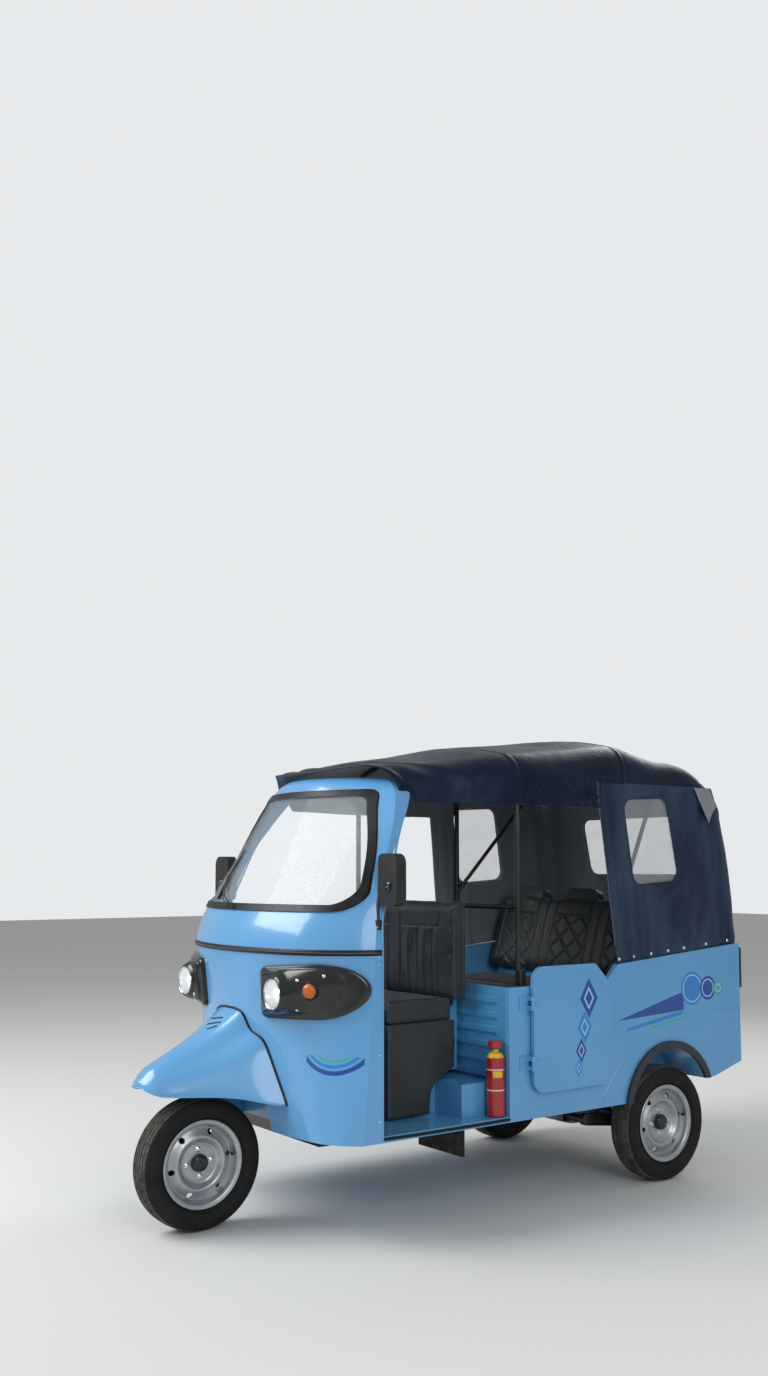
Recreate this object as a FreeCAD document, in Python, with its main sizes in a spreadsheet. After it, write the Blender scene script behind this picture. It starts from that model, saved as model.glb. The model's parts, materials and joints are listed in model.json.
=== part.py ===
"""Three-wheeled passenger taxi with a canopy on folding bows.

X points forward, Y to the vehicle's left and Z up, in millimetres. The ground is z = 0.
The origin lies on the ground, midway between the tip of the front fender and the tail lamps.
"""
import FreeCAD, Part
import math
import os
import Sketcher
from FreeCAD import Placement, Rotation, Vector

doc = FreeCAD.newDocument("auto_rickshaw")
sheet = doc.addObject("Spreadsheet::Sheet", "sizes")

# name, value in millimetres or degrees, what it measures
# a name that ends in _x is measured forward from the rear axle, and one in _z up from the ground
SIZES = [
    ("wheelbase", 2100, "front axle to rear axle"),
    ("front_overhang", 277, "front axle to the fender's tip"),
    ("rear_overhang", 524, "rear axle to the tail lamps"),
    ("track", 1086, "between the rear tyres' middles"),
    ("tyre_radius", 260, "ground to axle"),
    ("tyre_width", 128, "across the tyre's widest part"),
    ("tread_width", 104, "across the tyre's tread"),
    ("shoulder_drop", 6, "tread's edge below its middle"),
    ("rim_radius", 174, "axle to the rim's outer edge"),
    ("rim_width", 108, "across the rim's two edges"),
    ("rim_wall", 5, "sheet that the wheel is pressed from"),
    ("bead_radius", 156, "axle to the tyre's seat on the rim"),
    ("well_radius", 147, "axle to the rim's well"),
    ("disc_face", 12, "wheel's middle plane out to the disc's bolted face"),
    ("disc_crest", 34, "wheel's middle plane out to the disc's raised ring"),
    ("crest_radius", 103, "axle to the disc's raised ring"),
    ("flange_radius", 74, "axle to the edge of the bolted face"),
    ("vent_circle", 126, "axle to the wheel's vent holes"),
    ("vent_radius", 12, "a vent hole"),
    ("bolt_circle", 54, "axle to the wheel nuts"),
    ("nut_radius", 10, "wheel nut across its corners, halved"),
    ("nut_height", 9, "wheel nut"),
    ("cap_radius", 34, "grease cap in the wheel's middle"),
    ("cap_height", 20, "grease cap along the axle"),
    ("drum_radius", 98, "brake drum"),
    ("drum_depth", 58, "brake drum along the axle"),
    ("axle_radius", 14, "stub axle"),
    ("axle_depth", 48, "how far the stub axle goes into the drum"),
    ("fit", 0.3, "running or seating gap"),
    ("body_half", 640, "middle plane to the outside of the tub"),
    ("floor_low_z", 388, "the body's lower edge"),
    ("floor_top_z", 412, "top of the floor"),
    ("sheet_wall", 12, "pressed panel with its folded edge"),
    ("tub_wall", 24, "tub side with its inner skin"),
    ("cab_rear_x", 1646, "the cab's door edge"),
    ("waist_z", 1117, "joint between apron and cowl"),
    ("tub_front_x", 1000, "the tub's front face"),
    ("tub_rear_x", 500, "the tub's rear face, behind the rear axle"),
    ("tub_post_z", 936, "tub side's edge in front of the door"),
    ("tub_mid_x", 351, "where the tub side's high edge starts"),
    ("tub_mid_z", 1004, "tub side's high edge at its front"),
    ("tub_tail_z", 1070, "tub side's high edge at its rear"),
    ("tail_low_z", 505, "tub side's lower rear corner"),
    ("tub_foot_x", 300, "lower edge behind the arch, behind the rear axle"),
    ("tub_foot_z", 450, "lower edge behind the arch"),
    ("hatch_front_x", 862, "side opening's front edge"),
    ("hatch_rear_x", 482, "side opening's rear edge"),
    ("hatch_low_z", 520, "side opening's sill"),
    ("arch_x", 19, "middle of the wheel arch"),
    ("arch_z", 345, "middle of the wheel arch"),
    ("arch_radius", 262, "wheel arch in the tub side"),
    ("arch_trim", 34, "width of the arch's dark trim"),
    ("arch_proud", 16, "how far the arch trim stands out"),
    ("liner_depth", 190, "wheel arch's inner skin, inwards"),
    ("door_front_x", 886, "side door's front edge"),
    ("door_rear_x", 424, "side door's rear edge"),
    ("door_low_z", 494, "side door's lower edge"),
    ("door_high_z", 1018, "side door's upper edge"),
    ("door_thick", 18, "side door"),
    ("door_clear", 8, "between the tub and the closed door"),
    ("door_corner", 60, "side door's corner radius"),
    ("door_cut", 92, "side door's cut-off upper corner"),
    ("door_open", 105, "side door, degrees"),
    ("hinge_x", 899, "side door's hinge pin"),
    ("hinge_out", 10, "hinge pin outside the hinged panel's face"),
    ("hinge_radius", 8, "hinge barrel"),
    ("pin_radius", 4, "hinge pin"),
    ("hinge_height", 60, "hinge barrel along its pin"),
    ("leaf_thick", 4, "hinge leaf"),
    ("leaf_length", 46, "hinge leaf from its pin"),
    ("hinge_low_z", 621, "the door's lower hinge"),
    ("hinge_high_z", 869, "the door's upper hinge"),
    ("lid_half", 430, "engine lid's half width"),
    ("lid_low_z", 520, "engine lid's lower edge"),
    ("lid_high_z", 900, "engine lid's upper edge"),
    ("lid_lap", 24, "how far the lid covers the opening's edge"),
    ("lid_open", 78, "engine lid, degrees"),
    ("lid_hinge_y", 280, "middle plane to a lid hinge"),
    ("glass_thick", 6, "windscreen"),
    ("seal_width", 26, "windscreen seal seen from the front"),
    ("seal_proud", 8, "windscreen seal above the panel"),
    ("screen_low_z", 1262, "windscreen opening's lower edge"),
    ("screen_high_z", 1758, "windscreen opening's upper edge"),
    ("screen_low_half", 598, "half of the windscreen's lower width"),
    ("screen_mid_z", 1530, "height of the bend in the windscreen's sides"),
    ("screen_mid_half", 534, "half of the windscreen's width at that bend"),
    ("screen_high_half", 428, "half of the windscreen's upper width"),
    ("screen_corner", 70, "windscreen opening's corner radius"),
    ("header_z", 1814, "top of the roof header"),
    ("header_round", 38, "how far the header's sides fall"),
    ("well_half", 212, "half width of the wheel housing's opening"),
    ("well_rear_x", 1770, "back of the front wheel housing"),
    ("well_top_z", 700, "top of the front wheel housing"),
    ("pod_proud", 24, "lamp pod above the apron"),
    ("pod_turn", 37, "the way a pod faces, from straight ahead, degrees"),
    ("lamp_x", 1987, "headlamp's front"),
    ("lamp_y", 369, "middle plane to a headlamp"),
    ("lamp_z", 946, "headlamp's middle"),
    ("lamp_radius", 66, "headlamp's glass"),
    ("lamp_depth", 60, "headlamp front to back"),
    ("signal_radius", 30, "turn lamp"),
    ("post_x", 906, "canopy post beside the door"),
    ("rear_bow_x", 262, "rear bow's post"),
    ("bow_half", 594, "middle plane to the bows' posts"),
    ("bow_radius", 12, "canopy frame tube"),
    ("canopy_thick", 5, "canopy sheet"),
    ("rail_z", 1266, "grab rail behind the driver"),
    ("valance_z", 1706, "lower edge of the canopy's side"),
    ("eaves_z", 1818, "canopy's seam above the side windows"),
    ("seat_half", 430, "half width of the driver's bench"),
    ("seat_front_x", 1478, "driver's cushion at its front"),
    ("seat_rear_x", 1122, "driver's cushion at its rear"),
    ("seat_low_z", 789, "underside of the driver's cushion"),
    ("seat_top_z", 884, "top of the driver's cushion"),
    ("back_front_x", 1118, "face of the driver's backrest"),
    ("back_rear_x", 1040, "rear of the driver's backrest"),
    ("back_top_z", 1302, "top of the driver's backrest"),
    ("step_front_x", 1188, "front of the step box"),
    ("step_half", 556, "half width of the step box"),
    ("rib_half", 566, "half width of the partition's ribs"),
    ("step_top_z", 547, "top of the step box"),
    ("rear_seat_front_x", 470, "passenger cushion at its front"),
    ("rear_seat_low_z", 780, "underside of the passenger cushion"),
    ("rear_seat_top_z", 880, "top of the passenger cushion"),
    ("rear_seat_half", 575, "half width of the passenger bench"),
    ("rear_back_low_x", 75, "face of the passenger backrest at its foot"),
    ("rear_back_top_z", 1352, "top of the passenger backrest"),
    ("rear_back_thick", 90, "passenger backrest"),
    ("rear_back_lean", 18, "passenger backrest from upright, degrees"),
    ("rail_half", 300, "middle plane to a chassis rail"),
    ("rail_width", 40, "chassis rail"),
    ("rail_height", 56, "chassis rail"),
    ("bottle_radius", 38, "fire extinguisher"),
    ("steer_rake", 20, "lean of the steering axis, degrees"),
    ("steer_trail", 40, "steering axis ahead of the axle, on the ground"),
    ("steer_limit", 38, "steering to each side, degrees"),
    ("column_radius", 24, "steering column tube"),
]
for row, (alias, value, note) in enumerate(SIZES, 1):
    sheet.set(f"A{row}", note)
    sheet.set(f"B{row}", str(value))
    sheet.setAlias(f"B{row}", alias)
doc.recompute()


class Size:
    """A number together with the spreadsheet formula that it comes from."""

    def __init__(self, value, text):
        self.value = float(value)
        self.text = text

    def __float__(self):
        return self.value

    def __add__(self, other):
        return Size(self.value + float(other), f"({self.text} + {formula(other)})")

    def __radd__(self, other):
        return Size(float(other) + self.value, f"({formula(other)} + {self.text})")

    def __sub__(self, other):
        return Size(self.value - float(other), f"({self.text} - {formula(other)})")

    def __rsub__(self, other):
        return Size(float(other) - self.value, f"({formula(other)} - {self.text})")

    def __mul__(self, other):
        return Size(self.value * float(other), f"({self.text} * {formula(other)})")

    __rmul__ = __mul__

    def __truediv__(self, other):
        return Size(self.value / float(other), f"({self.text} / {formula(other)})")

    def __rtruediv__(self, other):
        return Size(float(other) / self.value, f"({formula(other)} / {self.text})")

    def __neg__(self):
        return Size(-self.value, f"(0 - {self.text})")


def formula(value):
    """The spreadsheet formula of a size, or a plain number as text."""
    return value.text if isinstance(value, Size) else repr(float(value))


def root(value):
    """Square root of a size."""
    return Size(math.sqrt(float(value)), f"sqrt({formula(value)})")


class Sizes:
    """Every alias of the sheet as an attribute."""


S = Sizes()
for alias, _, _ in SIZES:
    setattr(S, alias, Size(sheet.get(alias), f"sizes.{alias}"))

REAR = (S.rear_overhang - S.front_overhang - S.wheelbase) / 2
FRONT = REAR + S.wheelbase
RAKE = math.radians(float(S.steer_rake))


def along(value):
    """A place on X that is measured forward from the rear axle."""
    return REAR + value


def bind(thing, prop, value):
    """Sets a property, tied to the sheet when the value comes from it."""
    thing.setExpression(prop, formula(value))


NODES = []


def node(name, thing):
    """Names a finished piece."""
    thing.Label = name
    NODES.append(thing)
    return thing


def new_body(name):
    return doc.addObject("PartDesign::Body", name + "_body")


def sketch_on(body, role, offset=0.0):
    """A sketch on one of the body's own planes, moved along that plane's normal."""
    made = body.newObject("Sketcher::SketchObject", body.Name + "_sketch")
    plane = next(f for f in body.Origin.OriginFeatures if f.Role == role)
    made.AttachmentSupport = (plane, [""])
    made.MapMode = "FlatFace"
    bind(made, "AttachmentOffset.Base.z", offset)
    return made


def arc_between(a, b, radius):
    """The short arc from a to b, counter-clockwise when the radius is positive."""
    if radius < 0:
        a, b = b, a
    size = abs(radius)
    half = (b - a).Length / 2
    rise = math.sqrt(max(size * size - half * half, 0.0))
    chord = (b - a).normalize()
    centre = (a + b) / 2 + Vector(-chord.y, chord.x, 0) * rise
    start = math.atan2(a.y - centre.y, a.x - centre.x)
    end = math.atan2(b.y - centre.y, b.x - centre.x)
    if end < start:
        end += 2 * math.pi
    return Part.ArcOfCircle(Part.Circle(centre, Vector(0, 0, 1), size), start, end)


def fix_point(sk, edge, end, x, y):
    """Ties an edge's end to its two coordinates."""
    for axis, kind, value in ((-2, "DistanceX", x), (-1, "DistanceY", y)):
        if float(value) == 0:
            sk.addConstraint(Sketcher.Constraint("PointOnObject", edge, end, axis))
            continue
        number = sk.addConstraint(Sketcher.Constraint(kind, -1, 1, edge, end, float(value)))
        if isinstance(value, Size):
            bind(sk, f"Constraints[{number}]", value)


def fix_radius(sk, edge, radius):
    number = sk.addConstraint(Sketcher.Constraint("Radius", edge, float(radius)))
    if isinstance(radius, Size):
        bind(sk, f"Constraints[{number}]", radius)


def chain(sk, points, closed):
    """Lines and arcs through (x, y) points. A third number is the radius of the arc that leads on."""
    first = sk.GeometryCount
    count = len(points) if closed else len(points) - 1
    ends = []
    for i in range(count):
        point = points[i]
        follow = points[(i + 1) % len(points)]
        a = Vector(float(point[0]), float(point[1]), 0)
        b = Vector(float(follow[0]), float(follow[1]), 0)
        bend = float(point[2]) if len(point) > 2 else 0.0
        if bend:
            sk.addGeometry(arc_between(a, b, bend), False)
        else:
            sk.addGeometry(Part.LineSegment(a, b), False)
        ends.append((2, 1) if bend < 0 else (1, 2))
    for i in range(count if closed else count - 1):
        follow = (i + 1) % count
        sk.addConstraint(Sketcher.Constraint("Coincident", first + i, ends[i][1], first + follow,
            ends[follow][0]))
    for i in range(count):
        point = points[i]
        fix_point(sk, first + i, ends[i][0], point[0], point[1])
        if len(point) > 2 and float(point[2]):
            fix_radius(sk, first + i, point[2] if float(point[2]) > 0 else -point[2])
    if not closed:
        fix_point(sk, first + count - 1, ends[-1][1], points[-1][0], points[-1][1])
    return sk


def outline(sk, points):
    return chain(sk, points, True)


def circle(sk, x, y, radius):
    number = sk.addGeometry(Part.Circle(Vector(float(x), float(y), 0), Vector(0, 0, 1), float(radius)),
        False)
    fix_point(sk, number, 3, x, y)
    fix_radius(sk, number, radius)
    return sk


def rounded(points):
    """Rounds the corners of an outline given as (x, y) or (x, y, radius)."""
    made = []
    count = len(points)
    for i, point in enumerate(points):
        if len(point) < 3:
            made.append(point)
            continue
        here = Vector(float(point[0]), float(point[1]), 0)
        before = points[i - 1]
        after = points[(i + 1) % count]
        back = (Vector(float(before[0]), float(before[1]), 0) - here).normalize()
        ahead = (Vector(float(after[0]), float(after[1]), 0) - here).normalize()
        half = back.getAngle(ahead) / 2
        reach = point[2] * (1 / math.tan(half))
        turn = -1 if back.cross(ahead).z > 0 else 1
        made.append((point[0] + reach * back.x, point[1] + reach * back.y, point[2] * turn))
        made.append((point[0] + reach * ahead.x, point[1] + reach * ahead.y))
    return made


def pad(body, sk, length, back=False):
    made = body.newObject("PartDesign::Pad", body.Name + "_pad")
    made.Profile = sk
    bind(made, "Length", length)
    made.Reversed = back
    return made


def pocket(body, sk, length=None, back=False):
    """Cuts a sketch away, right through both ways when no length is given."""
    made = body.newObject("PartDesign::Pocket", body.Name + "_pocket")
    made.Profile = sk
    if length is None:
        made.Type = "ThroughAll"
        made.Midplane = True
    else:
        bind(made, "Length", length)
        made.Reversed = back
    return made


def revolve(body, sk):
    """Turns a sketch once round its own vertical axis."""
    made = body.newObject("PartDesign::Revolution", body.Name + "_turned")
    made.Profile = sk
    made.ReferenceAxis = (sk, ["V_Axis"])
    made.Angle = 360
    return made


def pipe(body, profile, path, count):
    """Draws a profile along the edges of a path sketch."""
    made = body.newObject("PartDesign::AdditivePipe", body.Name + "_pipe")
    made.Profile = profile
    made.Spine = (path, [f"Edge{i + 1}" for i in range(count)])
    return made


def loft(body, sketches, cut=False, ruled=False):
    kind = "SubtractiveLoft" if cut else "AdditiveLoft"
    made = body.newObject("PartDesign::" + kind, body.Name + "_loft")
    made.Profile = sketches[0]
    made.Sections = sketches[1:]
    made.Ruled = ruled
    return made


def place(thing, x=0.0, y=0.0, z=0.0, turn=None):
    """Moves a piece, and turns it about its own origin by (axis, degrees)."""
    if turn:
        axis, degrees = turn
        thing.Placement = Placement(Vector(), Rotation(Vector(*axis), float(degrees)))
        if isinstance(degrees, Size):
            bind(thing, "Placement.Rotation.Angle", degrees)
    for axis, value in (("x", x), ("y", y), ("z", z)):
        bind(thing, f"Placement.Base.{axis}", value)
    return thing


def block(name, x, y, z):
    """A box between three pairs of coordinates."""
    made = doc.addObject("Part::Box", name)
    for prop, (low, high) in (("Length", x), ("Width", y), ("Height", z)):
        bind(made, prop, high - low)
    return place(made, x[0], y[0], z[0])


def rod(name, start, radius, length, direction="z"):
    """A cylinder from a point along +x, +y or +z."""
    made = doc.addObject("Part::Cylinder", name)
    bind(made, "Radius", radius)
    bind(made, "Height", length)
    turns = {"x": ((0, 1, 0), 90.0), "y": ((1, 0, 0), -90.0), "z": None}
    return place(made, *start, turn=turns[direction])


def joined(name, pieces):
    made = doc.addObject("Part::MultiFuse", name)
    made.Shapes = pieces
    return made


def grouped(name, pieces):
    """Solids that don't touch, kept as one piece."""
    made = doc.addObject("Part::Compound", name)
    made.Links = pieces
    return made


def cut_away(name, base, tool):
    made = doc.addObject("Part::Cut", name)
    made.Base = base
    made.Tool = tool
    return made


def overlap(name, base, tool):
    made = doc.addObject("Part::Common", name)
    made.Base = base
    made.Tool = tool
    return made


def mirrored(name, thing):
    """The same piece on the other side of the middle plane."""
    made = doc.addObject("Part::Mirroring", name)
    made.Source = thing
    made.Normal = (0, 1, 0)
    made.Base = (0, 0, 0)
    return made


def side_panel(name, points, outer, thick):
    """A plate on the vehicle's left, drawn in X and Z, from its outer face inwards."""
    body = new_body(name)
    pad(body, outline(sketch_on(body, "XZ_Plane", -outer), points), thick)
    return body


# wheels

WHEELS = [
    # name, place on X, place on Y, side that the disc faces
    ("front", FRONT, 0.0, 1),
    ("rear_left", REAR, S.track / 2, 1),
    ("rear_right", REAR, -S.track / 2, -1),
]


def tyre(name):
    half = S.tyre_width / 2
    tread = S.tread_width / 2
    rim_half = S.rim_width / 2
    wall = S.rim_wall
    body = new_body(name)
    bead = [
        (S.bead_radius + S.fit, rim_half - wall * 2 - S.fit),
        (S.bead_radius + wall + S.fit, rim_half - wall - S.fit * 2),
        (S.rim_radius + S.fit, rim_half - S.fit * 2),
    ]
    side = (S.tyre_radius - 24, half - 5)
    edge = (S.tyre_radius - S.shoulder_drop, tread)
    crown = (tread * tread + S.shoulder_drop * S.shoulder_drop) / (S.shoulder_drop * 2)
    bulge = S.tyre_width * 0.42
    points = [(x, -y) for x, y in bead[:2]]
    points += [(bead[2][0], -bead[2][1], bulge), (side[0], -side[1], 24), (edge[0], -edge[1], crown)]
    points += [(edge[0], edge[1], 24), (side[0], side[1], bulge)]
    points += list(reversed(bead))
    revolve(body, outline(sketch_on(body, "XY_Plane"), points))
    return body


def wheel_disc(name):
    """The pressed rim with its disc, drum, grease cap and nuts, its face towards +Y."""
    half = S.rim_width / 2
    wall = S.rim_wall
    face = S.disc_face
    bead = S.bead_radius
    well = S.well_radius
    tube = [
        (S.rim_radius, half),
        (bead + wall, half - wall),
        (bead, half - wall * 2),
        (bead, half * 0.52),
        (well, half * 0.28),
        (well, -half * 0.28),
        (bead, -half * 0.52),
        (bead, -half + wall * 2),
        (bead + wall, -half + wall),
        (S.rim_radius, -half),
    ]
    under = [
        (S.rim_radius - wall, -half),
        (bead - wall * 0.2, -half + wall),
        (bead - wall, -half + wall * 2),
        (bead - wall, -half * 0.52 - wall * 0.5),
        (well - wall, -half * 0.28 - wall * 0.5),
        (well - wall, face - wall),
    ]
    disc = [
        (S.crest_radius, S.disc_crest - wall),
        (S.flange_radius + wall, face - wall * 0.5),
        (S.flange_radius, face - wall),
        (S.flange_radius, face - wall * 2),
        (S.drum_radius, face - wall * 3),
        (S.drum_radius, face - S.drum_depth),
        (S.axle_radius + S.fit, face - S.drum_depth),
        (S.axle_radius + S.fit, face - S.drum_depth + S.axle_depth),
        (0, face - S.drum_depth + S.axle_depth),
        (0, face + S.cap_height),
        (S.cap_radius - wall, face + S.cap_height),
        (S.cap_radius, face + S.cap_height - wall),
        (S.cap_radius, face),
        (S.flange_radius, face),
        (S.flange_radius + wall, face + wall * 0.5),
        (S.crest_radius, S.disc_crest),
        (well - wall, face + wall),
        (well - wall, half * 0.28 + wall * 0.5),
        (bead - wall, half * 0.52 + wall * 0.5),
        (bead - wall, half - wall * 2),
        (bead - wall * 0.2, half - wall),
        (S.rim_radius - wall, half),
    ]
    body = new_body(name)
    revolve(body, outline(sketch_on(body, "XY_Plane"), list(reversed(tube + under + disc))))
    hole = circle(sketch_on(body, "XZ_Plane", -half), S.vent_circle, 0, S.vent_radius)
    repeat_round(body, pocket(body, hole, half), 6)
    bolt = hexagon(sketch_on(body, "XZ_Plane", -face), S.bolt_circle, 0, S.nut_radius)
    repeat_round(body, pad(body, bolt, S.nut_height, back=True), 4)
    return body


def repeat_round(body, feature, count):
    """Repeats a feature evenly round the body's Y axis."""
    doc.recompute()
    ring = body.newObject("PartDesign::PolarPattern", body.Name + "_ring")
    ring.Originals = [feature]
    ring.Axis = (next(f for f in body.Origin.OriginFeatures if f.Role == "Y_Axis"), [""])
    ring.Angle = 360
    ring.Occurrences = count
    body.Tip = ring
    doc.recompute()
    return ring


def hexagon(sk, x, y, radius):
    corners = []
    for i in range(6):
        angle = math.radians(60 * i)
        corners.append((x + radius * math.cos(angle), y + radius * math.sin(angle)))
    return outline(sk, corners)


for name, x, y, side in WHEELS:
    turn = None if side > 0 else ((0, 0, 1), 180.0)
    node(name + "_tyre", place(tyre(name + "_tyre"), x, y, S.tyre_radius, turn))
    node(name + "_wheel", place(wheel_disc(name + "_wheel"), x, y, S.tyre_radius, turn))


# cab

# plan sections of the cab's outside, each a front arc, two corner arcs and two sides
# height, nose, front arc's end (x and y), where the side starts, half width, door edge; X from the rear axle
APRON_PLAN = [
    (S.floor_low_z, 1888, 1858, 455, 1738, S.body_half, S.cab_rear_x),
    (760, 1952, 1890, 362, 1706, S.body_half, S.cab_rear_x),
    (S.waist_z, 1985, 1914, 388, 1680, S.body_half - 4, S.cab_rear_x),
]
COWL_PLAN = [
    (S.waist_z, 1985, 1914, 388, 1680, S.body_half - 4, S.cab_rear_x),
    (S.screen_low_z - 24, 1948, 1878, 382, 1660, S.body_half - 20, S.cab_rear_x - 10),
    (S.screen_mid_z + 12, 1783, 1716, 322, 1556, S.screen_mid_half + 28, S.cab_rear_x - 126),
    (S.header_z - S.header_round, 1654, 1594, 250, 1458, S.screen_high_half + 14, S.cab_rear_x - 273),
    (S.header_z, 1616, 1574, 176, 1440, S.screen_high_half - 98, S.cab_rear_x - 296),
]


def plan_points(row, inset):
    """One plan section, moved inwards by a wall."""
    _, nose, arc_x, arc_y, side_x, half, rear = row
    nose = along(nose) - inset
    arc_x = along(arc_x) - inset * 0.9
    arc_y = arc_y - inset * 0.4
    side_x = along(side_x)
    half = half - inset
    rear = along(rear) - (40 if float(inset) > 0 else 0)
    bulge = nose - arc_x
    front = (bulge * bulge + arc_y * arc_y) / (bulge * 2)
    lean_x = (front - bulge) / front
    lean_y = arc_y / front
    dx = arc_x - side_x
    dy = half - arc_y
    corner = (dx * dx + dy * dy) / ((dx * lean_x - dy * lean_y) * 2)
    return [
        (rear, -half),
        (side_x, -half, corner),
        (arc_x, -arc_y, front),
        (arc_x, arc_y, corner),
        (side_x, half),
        (rear, half),
    ]


def plan_loft(body, plan, inset=0.0, cut=False):
    sketches = [outline(sketch_on(body, "XY_Plane", row[0]), plan_points(row, inset)) for row in plan]
    return loft(body, sketches, cut)


def plan_solid(name, plan, inset=0.0):
    body = new_body(name)
    plan_loft(body, plan, inset)
    return body


def apron():
    body = new_body("cab_apron")
    plan_loft(body, APRON_PLAN)
    plan_loft(body, APRON_PLAN, S.sheet_wall, cut=True)
    arch = sketch_on(body, "YZ_Plane")
    half = S.well_half
    top = S.well_top_z
    outline(arch, [(-half, 0), (half, 0), (half, top - half, half * 1), (0, top, half * 1),
        (-half, top - half)])
    pocket(body, arch)
    return body


def screen_outline(sk, grow):
    low = S.screen_low_half + grow
    middle = S.screen_mid_half + grow
    high = S.screen_high_half + grow
    return outline(sk, rounded([
        (-low, S.screen_low_z - grow, S.screen_corner),
        (low, S.screen_low_z - grow, S.screen_corner),
        (middle, S.screen_mid_z, S.screen_corner * 12),
        (high, S.screen_high_z + grow, S.screen_corner),
        (-high, S.screen_high_z + grow, S.screen_corner),
        (-middle, S.screen_mid_z, S.screen_corner * 12),
    ]))


def screen_prism(name, grow):
    """Everything behind the windscreen's outline, straight along X."""
    body = new_body(name)
    pad(body, screen_outline(sketch_on(body, "YZ_Plane", along(1500)), grow), 600)
    return body


def cowl():
    body = new_body("cab_cowl")
    plan_loft(body, COWL_PLAN)
    inner = [list(row) for row in COWL_PLAN]
    inner[-2][0] = S.header_z - S.header_round - 10
    inner[-1][0] = S.header_z - S.sheet_wall
    plan_loft(body, inner, S.sheet_wall, cut=True)
    pocket(body, screen_outline(sketch_on(body, "YZ_Plane"), 0.0))
    return body


node("cab_apron", apron())
node("cab_cowl", cowl())
glass_shell = cut_away("glass_shell", plan_solid("glass_outer", COWL_PLAN, 2.0),
                       plan_solid("glass_inner", COWL_PLAN, S.glass_thick + 2))
seal_shell = cut_away("seal_shell", plan_solid("seal_outer", COWL_PLAN, -S.seal_proud),
                      plan_solid("seal_inner", COWL_PLAN, S.sheet_wall))
opening = screen_prism("screen_opening", -S.fit)
pane = screen_prism("screen_pane", -S.seal_width)
node("windscreen", overlap("windscreen_cut", glass_shell,
    screen_prism("screen_glass", -S.seal_width - S.fit)))
node("windscreen_seal", overlap("seal_cut", seal_shell, cut_away("seal_ring", opening, pane)))


# front fender

# X from the rear axle, then the lower edge, the shoulder and the ridge, each as (half width, height)
FENDER = [
    (1880, 335, 505, 250, 785, 118, 905),
    (1962, 300, 520, 224, 762, 100, 862),
    (2070, 215, 556, 182, 690, 78, 778),
    (2200, 140, 550, 128, 622, 56, 706),
    (2310, 78, 560, 74, 594, 32, 646),
    (2377, 10, 578, 10, 584, 5, 592),
]


def fender_points(row, inset):
    _, low_half, low_z, side_half, side_z, top_half, top_z = row
    inset = min(inset, top_half * 0.6)
    low = low_half - inset
    side = side_half - inset
    top = top_half - inset * 0.6
    crown = (top * top + 6 * 6) / 12
    points = [(-low, low_z - inset * 2), (low, low_z - inset * 2), (side, side_z - inset * 0.6)]
    points += [(top, top_z - inset, crown), (-top, top_z - inset), (-side, side_z - inset * 0.6)]
    return points


def fender():
    body = new_body("front_fender")
    outer = [outline(sketch_on(body, "YZ_Plane", along(row[0])), fender_points(row, 0)) for row in FENDER]
    loft(body, outer)
    hollow = [outline(sketch_on(body, "YZ_Plane", along(row[0])),
        fender_points(row, 7)) for row in FENDER[:-1]]
    loft(body, hollow, cut=True)
    return body


node("front_fender", cut_away("fender_trimmed", fender(), plan_solid("fender_seat", APRON_PLAN, -S.fit)))


# lamps

# pod outline on the left, seen the way it faces: sideways from the turn lamp, height, corner radius
POD = [(-240, 842, 50), (74, 850, 160), (183, 888, 110), (254, 967, 36), (178, 1046, 100), (38, 1064, 200),
       (-240, 1046, 54)]
SIGNAL_X = along(1886)
SIGNAL_Y = 490


def pod_bowl():
    """The round bulge of a pod behind its headlamp."""
    body = new_body("pod_bowl")
    front = S.lamp_radius + 12
    back = front + 16
    points = [(0, -200), (back, -200), (back, -70), (front, -10), (front - 6, 0), (0, 0)]
    revolve(body, outline(sketch_on(body, "XY_Plane"), points))
    return place(body, along(S.lamp_x) - 14, S.lamp_y, S.lamp_z, ((0, 0, 1), -90.0))


def pod():
    body = new_body("pod_outline")
    reach = 200
    pad(body, outline(sketch_on(body, "YZ_Plane", -reach), rounded(POD)), reach * 2)
    place(body, SIGNAL_X, SIGNAL_Y, 0, ((0, 0, 1), S.pod_turn))
    skin = overlap("pod_skin", body, plan_solid("pod_outer", APRON_PLAN, -S.pod_proud))
    return cut_away("pod_left", joined("pod_bulged", [skin, pod_bowl()]),
        plan_solid("pod_seat", APRON_PLAN, -S.fit))


def lamp(name, x, y, z, radius, depth):
    """A round lamp with a domed glass that looks forward."""
    body = new_body(name)
    dome = radius * 0.22
    bend = (radius * radius + dome * dome) / (dome * 2)
    points = [(0, 0), (radius * 0.8, 0), (radius, depth - dome, bend), (0, depth)]
    revolve(body, outline(sketch_on(body, "XY_Plane"), points))
    return place(body, x - depth, y, z, ((0, 0, 1), -90.0))


near = lamp("head_lamp", along(S.lamp_x), S.lamp_y, S.lamp_z, S.lamp_radius, S.lamp_depth)
signal = cut_away("turn_lamp", lamp("turn_lamp_round", SIGNAL_X + 16, SIGNAL_Y, S.lamp_z + 18,
    S.signal_radius, 50),
                  plan_solid("lamp_seat", APRON_PLAN, -S.fit))
holed = cut_away("pod_left_holed", pod(), joined("lamp_sockets", [near, signal]))
node("headlamp_pods", grouped("pods", [holed, mirrored("pod_right", holed)]))
node("front_lamps", grouped("lamps", [near, signal, mirrored("lamp_right", near),
    mirrored("signal_right", signal)]))


# floor and chassis

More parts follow.
